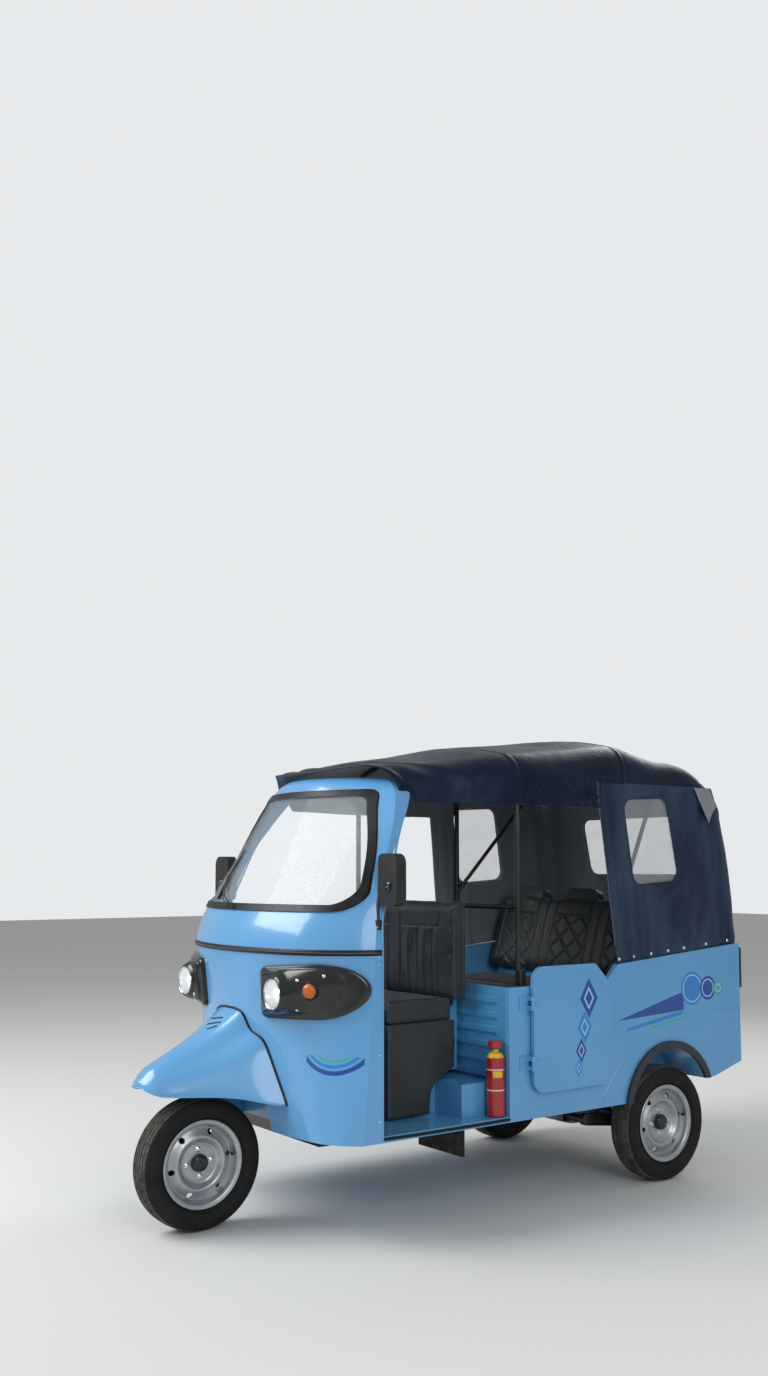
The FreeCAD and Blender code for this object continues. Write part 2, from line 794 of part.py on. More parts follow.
def floor():
    """The floor from the cab's nose to the front of the passenger seat."""
    body = new_body("floor")
    nose = plan_points(APRON_PLAN[0], S.sheet_wall + 7)[1:5]
    rear = along(460)
    tub_front = along(S.tub_front_x) + S.fit
    cab_rear = along(S.cab_rear_x) - S.fit
    inner = S.body_half - S.tub_wall - S.fit
    side = [(rear, inner), (tub_front, inner), (tub_front, S.body_half), (cab_rear, S.body_half),
            (cab_rear, S.body_half - S.sheet_wall - S.fit)]
    points = [(x, -y) for x, y in side] + nose + list(reversed(side))
    pad(body, outline(sketch_on(body, "XY_Plane", S.floor_low_z), points), S.floor_top_z - S.floor_low_z)
    wheel_well = sketch_on(body, "XY_Plane", S.floor_low_z)
    half = S.well_half + S.fit
    back = along(S.well_rear_x) - 4 - S.fit
    ahead = along(1950)
    outline(wheel_well, [(back, -half), (ahead, -half), (ahead, half), (back, half)])
    pocket(body, wheel_well)
    return body


def wheel_housing():
    """The arch-shaped shell round the front wheel, between the floor and the apron."""
    body = new_body("wheel_housing")
    half = S.well_half
    wall = 4
    low = S.floor_low_z
    top = S.well_top_z

    def arch(sk, grow):
        wide = half + grow
        high = top + grow
        return outline(sk, [(-wide, low), (wide, low), (wide, high - wide, wide), (0, high, wide),
            (-wide, high - wide)])

    pad(body, arch(sketch_on(body, "YZ_Plane", along(S.well_rear_x) - wall), 0.0), 300)
    pocket(body, arch(sketch_on(body, "YZ_Plane", along(S.well_rear_x) + 300), -wall), 300)
    hole = circle(sketch_on(body, "XY_Plane", top), FRONT + S.steer_trail - top * math.tan(RAKE), 0, 60)
    pocket(body, hole, 200)
    return body


node("floor", floor())
node("wheel_housing", cut_away("housing_trimmed", wheel_housing(),
                               cut_away("outside_apron",
                               block("ahead", (along(1600), along(2200)), (-300.0, 300.0),
                                                               (300.0, 800.0)),
                                        plan_solid("housing_seat", APRON_PLAN, S.sheet_wall + S.fit))))


def chassis():
    low = S.floor_low_z - S.fit - S.rail_height
    top = S.floor_low_z - S.fit
    half = S.rail_half
    wide = S.rail_width
    pieces = []
    for side in (-1, 1):
        inner = half if side > 0 else -half - wide
        pieces.append(block("rail", (along(-440), along(1740)), (inner, inner + wide), (low, top)))
    # place on X and width of each cross member
    for x, width in ((-440, 50), (250, 50), (960, 50), (1690, 50)):
        pieces.append(block("cross_member", (along(x), along(x) + width), (-half, half), (low, top)))
    for side in (-1, 1):
        edge = half if side > 0 else -half - wide
        pieces.append(block("arm_bracket", (along(352), along(408)), (edge, edge + wide),
            (low - 60, low + 4)))
    return joined("chassis_welded", pieces)


node("chassis", chassis())


# driver's seat and partition

def rib_profile():
    """The partition's face with its pressed ribs, drawn in X and Z."""
    front = along(S.tub_front_x)
    points = [(front - S.sheet_wall, S.floor_top_z + 140), (front - S.sheet_wall, S.tub_post_z - 30)]
    top = S.tub_post_z - 40
    pitch = 62
    for i in range(6):
        high = top - pitch * i
        points += [(front - 4, high), (front + 8, high - 8), (front + 8, high - 26), (front - 4, high - 44)]
    return points


def partition():
    body = new_body("partition")
    half = S.body_half - S.tub_wall - S.fit
    front = along(S.tub_front_x)
    sheet_face = outline(sketch_on(body, "YZ_Plane", front - S.sheet_wall), [
        (-half, S.floor_top_z + S.fit), (half, S.floor_top_z + S.fit), (half, S.tub_post_z),
        (-half, S.tub_post_z)])
    pad(body, sheet_face, S.sheet_wall - 2)
    pad(body, outline(sketch_on(body, "XZ_Plane", -S.rib_half), rib_profile()), S.rib_half * 2)
    return body


def cushion(name, points, half):
    """A seat pad drawn in X and Z and drawn out across the vehicle."""
    body = new_body(name)
    pad(body, outline(sketch_on(body, "XZ_Plane", -half), rounded(points)), half * 2)
    return body


def driver_seat_box():
    front = along(1440)
    rear = along(S.step_front_x) + S.fit
    low = S.floor_top_z + S.fit
    top = S.seat_low_z - S.fit
    back = along(S.back_rear_x) - S.fit
    pieces = [block("seat_base", (rear, front), (-380.0, 380.0), (low, top))]
    for side in (-1, 1):
        body = new_body("seat_arm")
        points = [(rear + 10, S.step_top_z + 20), (rear + 10, top), (back + 40, top), (back, top + 60),
                  (back, S.back_top_z - 60), (back - 20, S.back_top_z - 60), (back - 20, S.step_top_z + 20)]
        start = 320.0 if side > 0 else -312.0
        pad(body, outline(sketch_on(body, "XZ_Plane", -start), points), 8)
        pieces.append(body)
    return joined("seat_frame", pieces)


def skirt():
    body = new_body("seat_skirt")
    front = along(S.seat_front_x)
    rear = along(S.seat_rear_x)
    half = S.seat_half
    thick = 6
    plan = [(rear, -half), (front, -half), (front, half), (rear, half), (rear, half - thick),
            (front - thick, half - thick), (front - thick, -half + thick), (rear, -half + thick)]
    low = S.floor_top_z + 8
    pad(body, outline(sketch_on(body, "XY_Plane", low), plan), S.seat_low_z - S.fit - low)
    step = along(S.step_front_x)
    away = [(rear - 10, low - 10), (step + 80, low - 10), (step + 62, S.step_top_z - 5),
        (step - 30, S.step_top_z + 24),
            (rear + 4, S.step_top_z + 140), (rear - 10, S.step_top_z + 200)]
    pocket(body, outline(sketch_on(body, "XZ_Plane"), away))
    return body


node("partition", partition())
node("step_box", block("step_box_sheet", (along(S.tub_front_x) + 8 + S.fit, along(S.step_front_x)),
                       (-S.step_half, S.step_half), (S.floor_top_z + S.fit, S.step_top_z)))
node("driver_seat_box", driver_seat_box())
node("driver_cushion", cushion("driver_cushion", [
    (along(S.seat_rear_x), S.seat_low_z), (along(S.seat_front_x), S.seat_low_z, 24),
    (along(S.seat_front_x), S.seat_top_z, 40), (along(S.seat_rear_x), S.seat_top_z)], S.seat_half))
node("driver_backrest", cushion("driver_backrest", [
    (along(S.back_rear_x), S.seat_low_z + 72), (along(S.back_front_x), S.seat_low_z + 72, 20),
    (along(S.back_front_x), S.back_top_z, 38), (along(S.back_rear_x), S.back_top_z, 30)], S.seat_half))
node("seat_skirt", skirt())


# tub

def arch_foot(radius, z, side):
    """Where the wheel arch's circle meets a height, ahead of or behind its middle."""
    reach = root(radius * radius - (z - S.arch_z) * (z - S.arch_z))
    return along(S.arch_x) + reach * side


def tub_side():
    body = side_panel("tub_side", rounded([
        (along(S.tub_front_x), S.floor_low_z),
        (along(S.tub_front_x), S.tub_post_z),
        (along(S.hatch_front_x), S.tub_post_z),
        (along(S.hatch_front_x), S.hatch_low_z, S.door_corner),
        (along(S.hatch_rear_x), S.hatch_low_z, S.door_corner),
        (along(S.hatch_rear_x), S.tub_mid_z - 130),
        (along(S.tub_mid_x), S.tub_mid_z),
        (along(-S.tub_rear_x), S.tub_tail_z),
        (along(-S.tub_rear_x), S.tail_low_z),
        (along(-S.tub_foot_x), S.tub_foot_z),
    ]) + [
        (arch_foot(S.arch_radius, S.tub_foot_z, -1), S.tub_foot_z, -S.arch_radius),
        (arch_foot(S.arch_radius, S.floor_low_z, 1), S.floor_low_z),
    ], S.body_half, S.tub_wall)
    wall = 6
    outer = S.arch_radius + wall
    inside = S.body_half - S.tub_wall
    ring = [
        (arch_foot(S.arch_radius, S.tub_foot_z, -1), S.tub_foot_z, -S.arch_radius),
        (arch_foot(S.arch_radius, S.floor_low_z, 1), S.floor_low_z),
        (arch_foot(outer, S.floor_low_z, 1), S.floor_low_z, outer),
        (arch_foot(outer, S.tub_foot_z, -1), S.tub_foot_z),
    ]
    pad(body, outline(sketch_on(body, "XZ_Plane", -inside), ring), S.liner_depth)
    end = [
        (arch_foot(outer, S.tub_foot_z, -1), S.tub_foot_z, -outer),
        (arch_foot(outer, S.floor_low_z, 1), S.floor_low_z),
    ]
    pad(body, outline(sketch_on(body, "XZ_Plane", S.liner_depth - inside), end), wall)
    return body


def arch_trim():
    outer = S.arch_radius + S.arch_trim
    ring = [
        (arch_foot(S.arch_radius, S.tub_foot_z, -1), S.tub_foot_z, -S.arch_radius),
        (arch_foot(S.arch_radius, S.floor_low_z, 1), S.floor_low_z),
        (arch_foot(outer, S.floor_low_z, 1), S.floor_low_z, outer),
        (arch_foot(outer, S.tub_foot_z, -1), S.tub_foot_z),
    ]
    return side_panel("arch_trim", ring, S.body_half + S.arch_proud, S.arch_proud - S.fit)


def tub_rear():
    body = new_body("tub_rear")
    half = S.body_half - S.tub_wall - S.fit
    hole_half = S.lid_half - S.lid_lap
    back = along(-S.tub_rear_x + 12)
    pad(body, outline(sketch_on(body, "YZ_Plane", back), [
        (-half, S.tail_low_z), (half, S.tail_low_z), (half, S.tub_tail_z), (-half, S.tub_tail_z)]),
        S.sheet_wall)
    hole = outline(sketch_on(body, "YZ_Plane", back), rounded([
        (-hole_half, S.lid_low_z + S.lid_lap, 40), (hole_half, S.lid_low_z + S.lid_lap, 40),
        (hole_half, S.lid_high_z - S.lid_lap, 40), (-hole_half, S.lid_high_z - S.lid_lap, 40)]))
    pocket(body, hole)
    return body


left_tub = tub_side()
node("tub_left", left_tub)
node("tub_right", mirrored("tub_right_side", left_tub))
node("tub_rear", tub_rear())
trim = arch_trim()
node("arch_trims", grouped("trims", [trim, mirrored("arch_trim_right", trim)]))


def leaned_back(thing):
    """Puts a piece that was made upright in the place of the passengers' backrest."""
    return place(thing, along(S.rear_back_low_x), 0, S.rear_seat_top_z + 32, ((0, 1, 0), -S.rear_back_lean))


def passenger_seat_box():
    body = new_body("passenger_seat_box")
    half = S.body_half - S.tub_wall - S.fit
    front = along(460) - S.fit
    back = along(-S.tub_rear_x + 12) + S.sheet_wall + S.fit
    top = S.rear_seat_low_z - S.fit
    wall = S.sheet_wall
    pad(body, outline(sketch_on(body, "XZ_Plane", -half), [
        (front, S.floor_low_z), (front, top), (back, top), (back, top - wall), (front - wall, top - wall),
        (front - wall, S.floor_low_z)]), half * 2)
    rest = new_body("rest_panel")
    pad(rest, outline(sketch_on(rest, "YZ_Plane", -S.rear_back_thick - 10), [
        (-S.rear_seat_half, -140), (S.rear_seat_half, -140), (S.rear_seat_half, 330),
        (-S.rear_seat_half, 330)]),
        10 - S.fit)
    return joined("seat_box_and_rest", [body, leaned_back(rest)])


def passenger_backrest():
    body = new_body("passenger_backrest")
    lean = math.radians(float(S.rear_back_lean))
    high = (S.rear_back_top_z - S.rear_seat_top_z - 32) / math.cos(lean) - 60
    thick = S.rear_back_thick
    half = S.rear_seat_half
    pad(body, outline(sketch_on(body, "XZ_Plane", -half), rounded([
        (-thick, 0, 20), (0, 0, 20), (0, high, 30), (-thick, high, 30)])), half * 2)
    for middle in (-380, 0, 380):
        hump = sketch_on(body, "YZ_Plane", -thick + 12)
        wide = 115
        outline(hump, [(middle - wide, high - 40), (middle + wide, high - 40),
            (middle + wide, high + 20, 40),
                       (middle + wide - 40, high + 60), (middle - wide + 40, high + 60, 40),
                       (middle - wide, high + 20)])
        pad(body, hump, thick - 24)
    return leaned_back(body)


CUSHION_REAR = along(S.rear_back_low_x) - 48
node("passenger_seat_box", passenger_seat_box())
node("passenger_cushion", cushion("passenger_cushion", [
    (CUSHION_REAR, S.rear_seat_low_z), (along(S.rear_seat_front_x), S.rear_seat_low_z, 24),
    (along(S.rear_seat_front_x), S.rear_seat_top_z, 40), (CUSHION_REAR, S.rear_seat_top_z, 30)],
    S.rear_seat_half))
node("passenger_backrest", passenger_backrest())


# doors and hinges

def fixed_hinge(name, reach):
    """Hinge half that stays: two barrel ends, the pin and a leaf that stands off its panel by reach."""
    half = S.hinge_height / 2
    end = S.hinge_height / 3
    pieces = [rod(name + "_pin", (0, 0, -half), S.pin_radius, S.hinge_height)]
    for low in (-half, half - end):
        pieces.append(rod(name + "_barrel", (0, 0, low), S.hinge_radius, end - 1))
        pieces.append(block(name + "_web", (0.0, S.leaf_thick), (-reach, 0.0), (low, low + end - 1)))
    pieces.append(block(name + "_leaf", (0.0, S.leaf_length), (-reach, -reach + S.leaf_thick),
        (-half, half)))
    return joined(name, pieces)


def moving_hinge(name, sink):
    """Hinge half that moves: the middle of the barrel and a leaf on the panel's face, sink below the pin."""
    third = S.hinge_height / 3
    pieces = [
        rod(name + "_barrel", (0, 0, -third / 2 + 0.5), S.hinge_radius, third - 1),
        block(name + "_leaf", (-S.leaf_length, 0.0), (-sink, -sink + S.leaf_thick),
        (-third / 2 + 0.5, third / 2 - 0.5)),
    ]
    return cut_away(name, joined(name + "_solid", pieces),
                    rod(name + "_bore", (0, 0, -third), S.pin_radius + S.fit, third * 2))


DOOR_OUT = S.body_half + S.door_clear + S.door_thick
PIN_OUT = DOOR_OUT + S.hinge_out


def door_panel():
    low = S.door_low_z
    high = S.door_high_z
    rear = along(S.door_rear_x)
    front = along(S.door_front_x)
    points = rounded([
        (rear, low, S.door_corner), (front, low, S.door_corner), (front, high, S.door_corner),
        (rear + S.door_cut, high, 30), (rear, high - S.door_cut, 30)])
    return side_panel("door_panel", points, DOOR_OUT, S.door_thick)


def side_door():
    pieces = [door_panel()]
    for z in (S.hinge_low_z, S.hinge_high_z):
        pieces.append(place(moving_hinge("door_hinge", S.hinge_out), along(S.hinge_x), PIN_OUT, z))
    return joined("side_door", pieces)


left_door = side_door()
node("door_left", left_door)
node("door_right", mirrored("door_right_side", left_door))

LID_IN = along(-S.tub_rear_x + 12) - 5
LID_OUT = LID_IN - 12
LID_PIN = LID_OUT - 5


def engine_lid():
    body = new_body("engine_lid_panel")
    half = S.lid_half
    points = rounded([(-half, S.lid_low_z, 50), (half, S.lid_low_z, 50), (half, S.lid_high_z, 50),
                      (-half, S.lid_high_z, 50)])
    pad(body, outline(sketch_on(body, "YZ_Plane", LID_OUT), points), 12)
    pieces = [body]
    for side in (-1, 1):
        pieces.append(turned_to_rear(moving_hinge("lid_hinge", 5.0), S.lid_hinge_y * side))
    return joined("engine_lid_joined", pieces)


def turned_to_rear(made, y):
    """Turns a hinge that was made upright so that its pin lies across the vehicle's tail."""
    made.Placement = Placement(FreeCAD.Matrix(0, -1, 0, 0, 0, 0, -1, 0, 1, 0, 0, 0, 0, 0, 0, 1))
    for axis, value in (("x", LID_PIN), ("y", y), ("z", S.lid_high_z + 13)):
        bind(made, f"Placement.Base.{axis}", value)
    return made


node("engine_lid", engine_lid())


def hinges():
    pieces = []
    for z in (S.hinge_low_z, S.hinge_high_z):
        near = place(fixed_hinge("door_hinge_fixed", PIN_OUT - S.body_half - S.fit), along(S.hinge_x),
            PIN_OUT, z)
        pieces += [near, mirrored("door_hinge_far", near)]
    for side in (-1, 1):
        made = fixed_hinge("lid_hinge_fixed", 22 - S.fit)
        pieces.append(turned_to_rear(made, S.lid_hinge_y * side))
    return grouped("hinge_set", pieces)


node("hinges", hinges())


# canopy

# X from the rear axle, half width, crown, corner radius, crown radius
CANOPY = [
    (1640, S.screen_high_half + 24, S.header_z + 11.4, 120, 9000),
    (1400, S.screen_high_half + 44, S.header_z + 84, 120, 2600),
    (S.post_x, 612, 1986, 140, 2400),
    (S.rear_bow_x, 612, 2056, 120, 2400),
    (-4, 610, 2018, 110, 2400),
    (-236, 606, 1978, 84, 2400),
    (-368, 600, 1872, 50, 3000),
]
# the hanging back: how far its foot and its top lie behind the rear axle, and the top's height
BACK_FOOT = along(-S.tub_rear_x + 2)
BACK_TOP = along(-372)
BACK_TOP_Z = 1866
BACK_BEND = 1780


def hoop(half, low, crown, corner, bend):
    """A half-section of the roof: two upright sides, two corners and an arched crown, as outline points."""
    middle = crown - bend
    rise = root((bend - corner) * (bend - corner) - (half - corner) * (half - corner))
    share = Size(float(bend), formula(bend)) / (bend - corner)
    reach = share * (half - corner)
    top = middle + share * rise
    turn = middle + rise
    return [(half, low), (half, turn, corner), (reach, top, bend), (-reach, top, corner), (-half, turn),
        (-half, low)]


def roof_points(row, inset):
    _, half, crown, corner, bend = row
    low = S.valance_z - (10 if float(inset) > 0 else 0)
    return hoop(half - inset, low, crown - inset, corner - inset, bend - inset)


def canopy_roof():
    """The roof sheet, cut back to the header in front and to the side sheets behind the door."""
    body = new_body("canopy_roof")
    for cut, inset in ((False, 0 * S.canopy_thick), (True, S.canopy_thick)):
        rows = [outline(sketch_on(body, "YZ_Plane", along(row[0])),
            roof_points(row, inset)) for row in reversed(CANOPY)]
        loft(body, rows, cut)
    below = S.valance_z - 20
    eaves = [(along(460), below), (along(460), S.eaves_z), (along(-600), S.eaves_z), (along(-600), below)]
    pocket(body, outline(sketch_on(body, "XZ_Plane"), eaves))
    edge = along(S.cab_rear_x) - 300
    brow = S.header_z - S.header_round
    over = [(edge + 84, below), (along(1900), below), (along(1900), brow), (edge + 23, brow)]
    pocket(body, outline(sketch_on(body, "XZ_Plane"), over))
    brim = plan_points(COWL_PLAN[-2], 14.0)[1:5]
    ahead = brim + [(brim[3][0], 700), (along(1900), 700), (along(1900), -700), (brim[0][0], -700)]
    pocket(body, outline(sketch_on(body, "XY_Plane"), ahead))
    return cut_away("roof_on_header", body, plan_solid("header_seat", COWL_PLAN, -S.fit))


node("canopy_roof", canopy_roof())


def bow(name, x, foot, crown):
    """A hoop of tube under the roof, with its two feet at one height."""
    body = new_body(name)
    path = chain(sketch_on(body, "YZ_Plane", x), hoop(S.bow_half, foot, crown, 130, 2300), False)
    pipe(body, circle(sketch_on(body, "XY_Plane", foot), x, S.bow_half, S.bow_radius), path, 5)
    return body


def tube(name, start, end, radius):
    """A straight round tube between two points."""
    start = Vector(*(float(value) for value in start))
    end = Vector(*(float(value) for value in end))
    made = doc.addObject("Part::Cylinder", name)
    bind(made, "Radius", radius)
    made.Height = (end - start).Length
    made.Placement = Placement(start, Rotation(Vector(0, 0, 1), end - start))
    return made


def canopy_frame():
    """Two bows, the grab rail, roof tubes and the struts that run down behind the passengers."""
    sunk = S.canopy_thick + S.bow_radius + S.fit
    front = along(S.post_x)
    rear = along(S.rear_bow_x)
    front_crown = 1986 - sunk
    rear_crown = 2056 - sunk
    pieces = [bow("front_bow", front, S.tub_post_z + S.fit, front_crown),
              bow("rear_bow", rear, REAR_BOW_FOOT, rear_crown),
              rod("grab_rail", (front, -S.bow_half, S.rail_z), S.bow_radius - 1, S.bow_half * 2, "y")]
    for side in (-1, 1):
        y = 350 * side
        fall = 350 * 350 / 4800 + 6
        hip = (along(-160), 440 * side, 1866)
        pieces.append(tube("roof_tube", (front, y, front_crown - fall), (rear, y, rear_crown - fall),
            S.bow_radius - 2))
        pieces.append(tube("strut", (rear, S.bow_half * side, S.rail_z + 40), hip, S.bow_radius - 2))
        pieces.append(tube("hip_tube", (rear, y, rear_crown - fall), hip, S.bow_radius - 2))
    pieces.append(tube("tail_tube", (along(-160), -440, 1866), (along(-160), 440, 1866), S.bow_radius - 2))
    return joined("frame_joined", pieces)


REAR_BOW_FOOT = S.tub_mid_z + (S.tub_tail_z - S.tub_mid_z) * 0.12 + 2
node("canopy_frame", canopy_frame())


def canopy_side():
    """The left side sheet with its window, drawn from the tub's edge and leaned in towards the roof."""
    low = S.tub_mid_z
    lean = Size(math.degrees(math.atan2(24, float(S.eaves_z - low))),
        f"atan(24 / {formula(S.eaves_z - low)})")
    top = S.eaves_z - S.fit * 2 - low
    back = along(-S.tub_rear_x + 8)
    window = rounded([(along(221), 350, 50), (along(275), 744, 50), (along(-19), 761, 50),
        (along(-86), 370, 50)])
    body = new_body("canopy_side")
    points = [(along(S.tub_mid_x), S.fit), (along(440), top), (along(-354), top, BACK_BEND),
              (back, S.tub_tail_z + S.fit - low)]
    pad(body, outline(sketch_on(body, "XZ_Plane"), points), S.canopy_thick)
    pocket(body, outline(sketch_on(body, "XZ_Plane"), window))
    return place(body, 0, S.body_half - 4, low, ((1, 0, 0), lean))


side_sheet = canopy_side()
node("canopy_sides", grouped("canopy_sides_both", [side_sheet, mirrored("canopy_side_right", side_sheet)]))


def canopy_back():
    """The hanging rear sheet with its window, curved as seen from the side."""
    low = S.tub_tail_z + S.fit
    wall = S.canopy_thick
    band = new_body("canopy_back_band")
    points = [(BACK_FOOT, low), (BACK_FOOT + wall, low, -BACK_BEND), (BACK_TOP + wall, BACK_TOP_Z),
        (BACK_TOP, BACK_TOP_Z, BACK_BEND)]
    pad(band, outline(sketch_on(band, "XZ_Plane", -640), points), 1280)
    shape = new_body("canopy_back_outline")
    pad(shape, outline(sketch_on(shape, "YZ_Plane", along(-700)), [
        (-625, low - 1), (625, low - 1), (600, 1790), (560, 1806), (300, 1846), (-300, 1846), (-560, 1806),
        (-600, 1790)]), 500)
    pocket(shape, outline(sketch_on(shape, "YZ_Plane"), rounded([
        (-330, 1400, 60), (330, 1400, 60), (330, 1700, 60), (-330, 1700, 60)])))
    return overlap("canopy_back_cut", band, shape)


node("canopy_back", canopy_back())


# drive and suspension

def engine():
    body = new_body("engine")
    pad(body, outline(sketch_on(body, "XY_Plane", 215), rounded([
        (along(-260), -190, 30), (along(210), -190, 30), (along(210), 190, 30), (along(-260), 190, 30)])),
        270)
    return body


node("engine", engine())


def trailing_arm():
    """The left arm with its pivot tube, stub axle and spring, drawn in X and Z."""
    body = new_body("trailing_arm")
    radius = 34
    pivot_z = S.floor_low_z - S.rail_height - 34
    start = 466
    dx = 380
    dz = float(pivot_z - S.tyre_radius)
    angle = math.atan2(dz, dx)
    nx = -math.sin(angle)
    nz = math.cos(angle)
    small = 26
    points = [
        (along(radius * nx), S.tyre_radius + radius * nz, radius),
        (along(-radius * math.cos(angle)), S.tyre_radius - radius * math.sin(angle), radius),
        (along(-radius * nx), S.tyre_radius - radius * nz),
        (along(dx - small * nx), pivot_z - small * nz, small),
        (along(dx + small * math.cos(angle)), pivot_z + small * math.sin(angle), small),
        (along(dx + small * nx), pivot_z + small * nz),
    ]
    pad(body, outline(sketch_on(body, "XZ_Plane", -start), points), 26)
    stub = circle(sketch_on(body, "XZ_Plane", -start), REAR, S.tyre_radius, S.axle_radius)
    hub_face = S.track / 2 + S.disc_face - S.drum_depth
    pad(body, stub, hub_face + S.axle_depth - 6 - start, back=True)
    pin = circle(sketch_on(body, "XZ_Plane", -start + 26), along(dx), pivot_z, 18)
    pad(body, pin, start - 26 - S.rail_half - S.rail_width - S.fit)
    return body


arm = trailing_arm()
node("trailing_arms", grouped("arms", [arm, mirrored("trailing_arm_right", arm)]))


def drive_shaft():
    body = new_body("drive_shaft")
    length = 440 - 190 - 2 * S.fit
    points = [(0, 0), (34, 0), (34, 18), (14, 60), (12, 60), (12, length - 60), (14, length - 60),
        (34, length - 18),
              (34, length), (0, length)]
    revolve(body, outline(sketch_on(body, "XY_Plane"), points))
    return place(body, REAR, 190 + S.fit, S.tyre_radius)


shaft = drive_shaft()
node("drive_shafts", grouped("shafts", [shaft, mirrored("drive_shaft_right", shaft)]))


# steering, made along its own axis and then leaned back

def steering_origin():
    """The steering axis at its nearest to the wheel's middle, and how far ahead the wheel lies."""
    sine = math.sin(RAKE)
    cosine = math.cos(RAKE)
    rise = S.tyre_radius * cosine + S.steer_trail * sine
    ahead = S.tyre_radius * sine - S.steer_trail * cosine
    return FRONT + S.steer_trail - rise * sine, rise * cosine, ahead


AXIS_X, AXIS_Z, WHEEL_AHEAD = steering_origin()
ARM_Y = -104


def leaned(thing):
    """Puts a piece made upright round the steering axis in its place."""
    return place(thing, AXIS_X, 0, AXIS_Z, ((0, 1, 0), -S.steer_rake))


def steering_tube():
    """The steering tube, cranked beside the wheel."""
    body = new_body("steering_tube")
    # Y and Z along the axis, radius of the arc that leads on
    route = [(0, 945), (0, 385, -60), (-17.574, 342.574), (ARM_Y + 17.574, 273.574, 60), (ARM_Y, 231.147),
             (ARM_Y, 40)]
    path = chain(sketch_on(body, "YZ_Plane"), route, False)
    pipe(body, circle(sketch_on(body, "XY_Plane", 945), 0, 0, 18), path, 5)
    return body


def column():
    pieces = [
        steering_tube(),
        rod("column_tube", (0, 0, 385), S.column_radius, 560),
        block("link_ears", (-110.0, 20.0), (-101.0, -84.3), (40.0, 92.0)),
    ]
    return leaned(joined("column_joined", pieces))


def front_link():
    """The short arm that carries the front wheel, with its stub axle and spring."""
    body = new_body("front_link_arm")
    outer = -84
    pivot = (-84, 66)
    hub = (WHEEL_AHEAD, 0)
    dx = float(hub[0]) - pivot[0]
    dz = float(hub[1]) - pivot[1]
    angle = math.atan2(dz, dx)
    size = 26
    nx = -math.sin(angle) * size
    nz = math.cos(angle) * size
    points = [
        (pivot[0] + nx, pivot[1] + nz, size),
        (pivot[0] - math.cos(angle) * size, pivot[1] - math.sin(angle) * size, size),
        (pivot[0] - nx, pivot[1] - nz),
        (hub[0] - nx, hub[1] - nz, size),
        (hub[0] + math.cos(angle) * size, hub[1] + math.sin(angle) * size, size),
        (hub[0] + nx, hub[1] + nz),
    ]
    pad(body, outline(sketch_on(body, "XZ_Plane", -outer - 14), points), 14)
    stub = circle(sketch_on(body, "XZ_Plane", -outer - 14), WHEEL_AHEAD, 0, S.axle_radius)
    pad(body, stub, S.disc_face - S.drum_depth + S.axle_depth - 6 - (outer + 14), back=True)
    return body


def front_suspension():
    spring = rod("spring", (WHEEL_AHEAD + 4, -108, 40), 22, 200)
    foot = rod("spring_foot", (WHEEL_AHEAD + 4, -108, 10), 9, 34)
    boss = rod("spring_boss", (WHEEL_AHEAD + 4, -120, 14), 10, 40, "y")
    top = rod("spring_top", (18.4, -106, 226), 9, 30, "x")
    return leaned(joined("front_link_joined", [front_link(), spring, foot, boss, top]))


def handlebar():
    pieces = [
        rod("bar", (-10, -250, 957), 11, 500, "y"),
        rod("grip_left", (-10, 140, 957), 17, 120, "y"),
        rod("grip_right", (-10, -260, 957), 17, 120, "y"),
        block("headset", (-60.0, 50.0), (-75.0, 75.0), (945.3, 1000.0)),
    ]
    return leaned(joined("handlebar_joined", pieces))


node("steering_column", column())
node("front_link", front_suspension())
node("handlebar", handlebar())


def steering_head():
    pieces = [leaned(cut_away("head_tube", rod("head_outer", (0, 0, 520), S.column_radius + 12, 240),
                              rod("head_bore", (0, 0, 500), S.column_radius + S.fit, 280)))]
    for side in (-1, 1):
        foot = (along(1560), 150.0 * side, S.floor_top_z + S.fit + 8)
        top = (AXIS_X - 640 * math.sin(RAKE), 40.0 * side, AXIS_Z + 640 * math.cos(RAKE))
        pieces.append(tube("head_strut", foot, top, 14))
        pieces.append(rod("strut_foot", (foot[0], foot[1], S.floor_top_z + S.fit), 30, 16))
    return joined("steering_head_joined", pieces)


node("steering_head", steering_head())


# small pieces

def mirror():
    body = new_body("mirror")
    pad(body, outline(sketch_on(body, "YZ_Plane", along(1600)), rounded([
        (606, 1284, 26), (728, 1284, 36), (728, 1488, 40), (606, 1488, 26)])), 46)
    arm = rod("mirror_arm", (along(1612), 592, 1340), 9, 40, "y")
    return cut_away("mirror_seated", joined("mirror_joined", [body, arm]),
        plan_solid("mirror_seat", COWL_PLAN, -S.fit))


left_mirror = mirror()
node("mirrors", grouped("mirror_pair", [left_mirror, mirrored("mirror_right", left_mirror)]))
node("dash_shelf", overlap("dash_cut", block("dash_block", (along(1850), along(2000)), (-600.0, 600.0),
    (1128.0, 1142.0)),
                           plan_solid("dash_seat", COWL_PLAN, S.sheet_wall + S.fit)))


def extinguisher():
    body = new_body("extinguisher")
    wide = S.bottle_radius
    points = [(0, 0), (wide - 4, 0), (wide, 6), (wide, 236), (wide - 10, 256), (14, 262), (14, 280),
        (30, 280), (30, 306),
              (0, 306)]
    revolve(body, outline(sketch_on(body, "XY_Plane"), points))
    return place(body, along(S.tub_front_x) + wide + S.fit * 2, S.step_half + wide + S.fit * 2,
        S.floor_top_z + S.fit,
                 ((1, 0, 0), 90.0))


node("extinguisher", extinguisher())


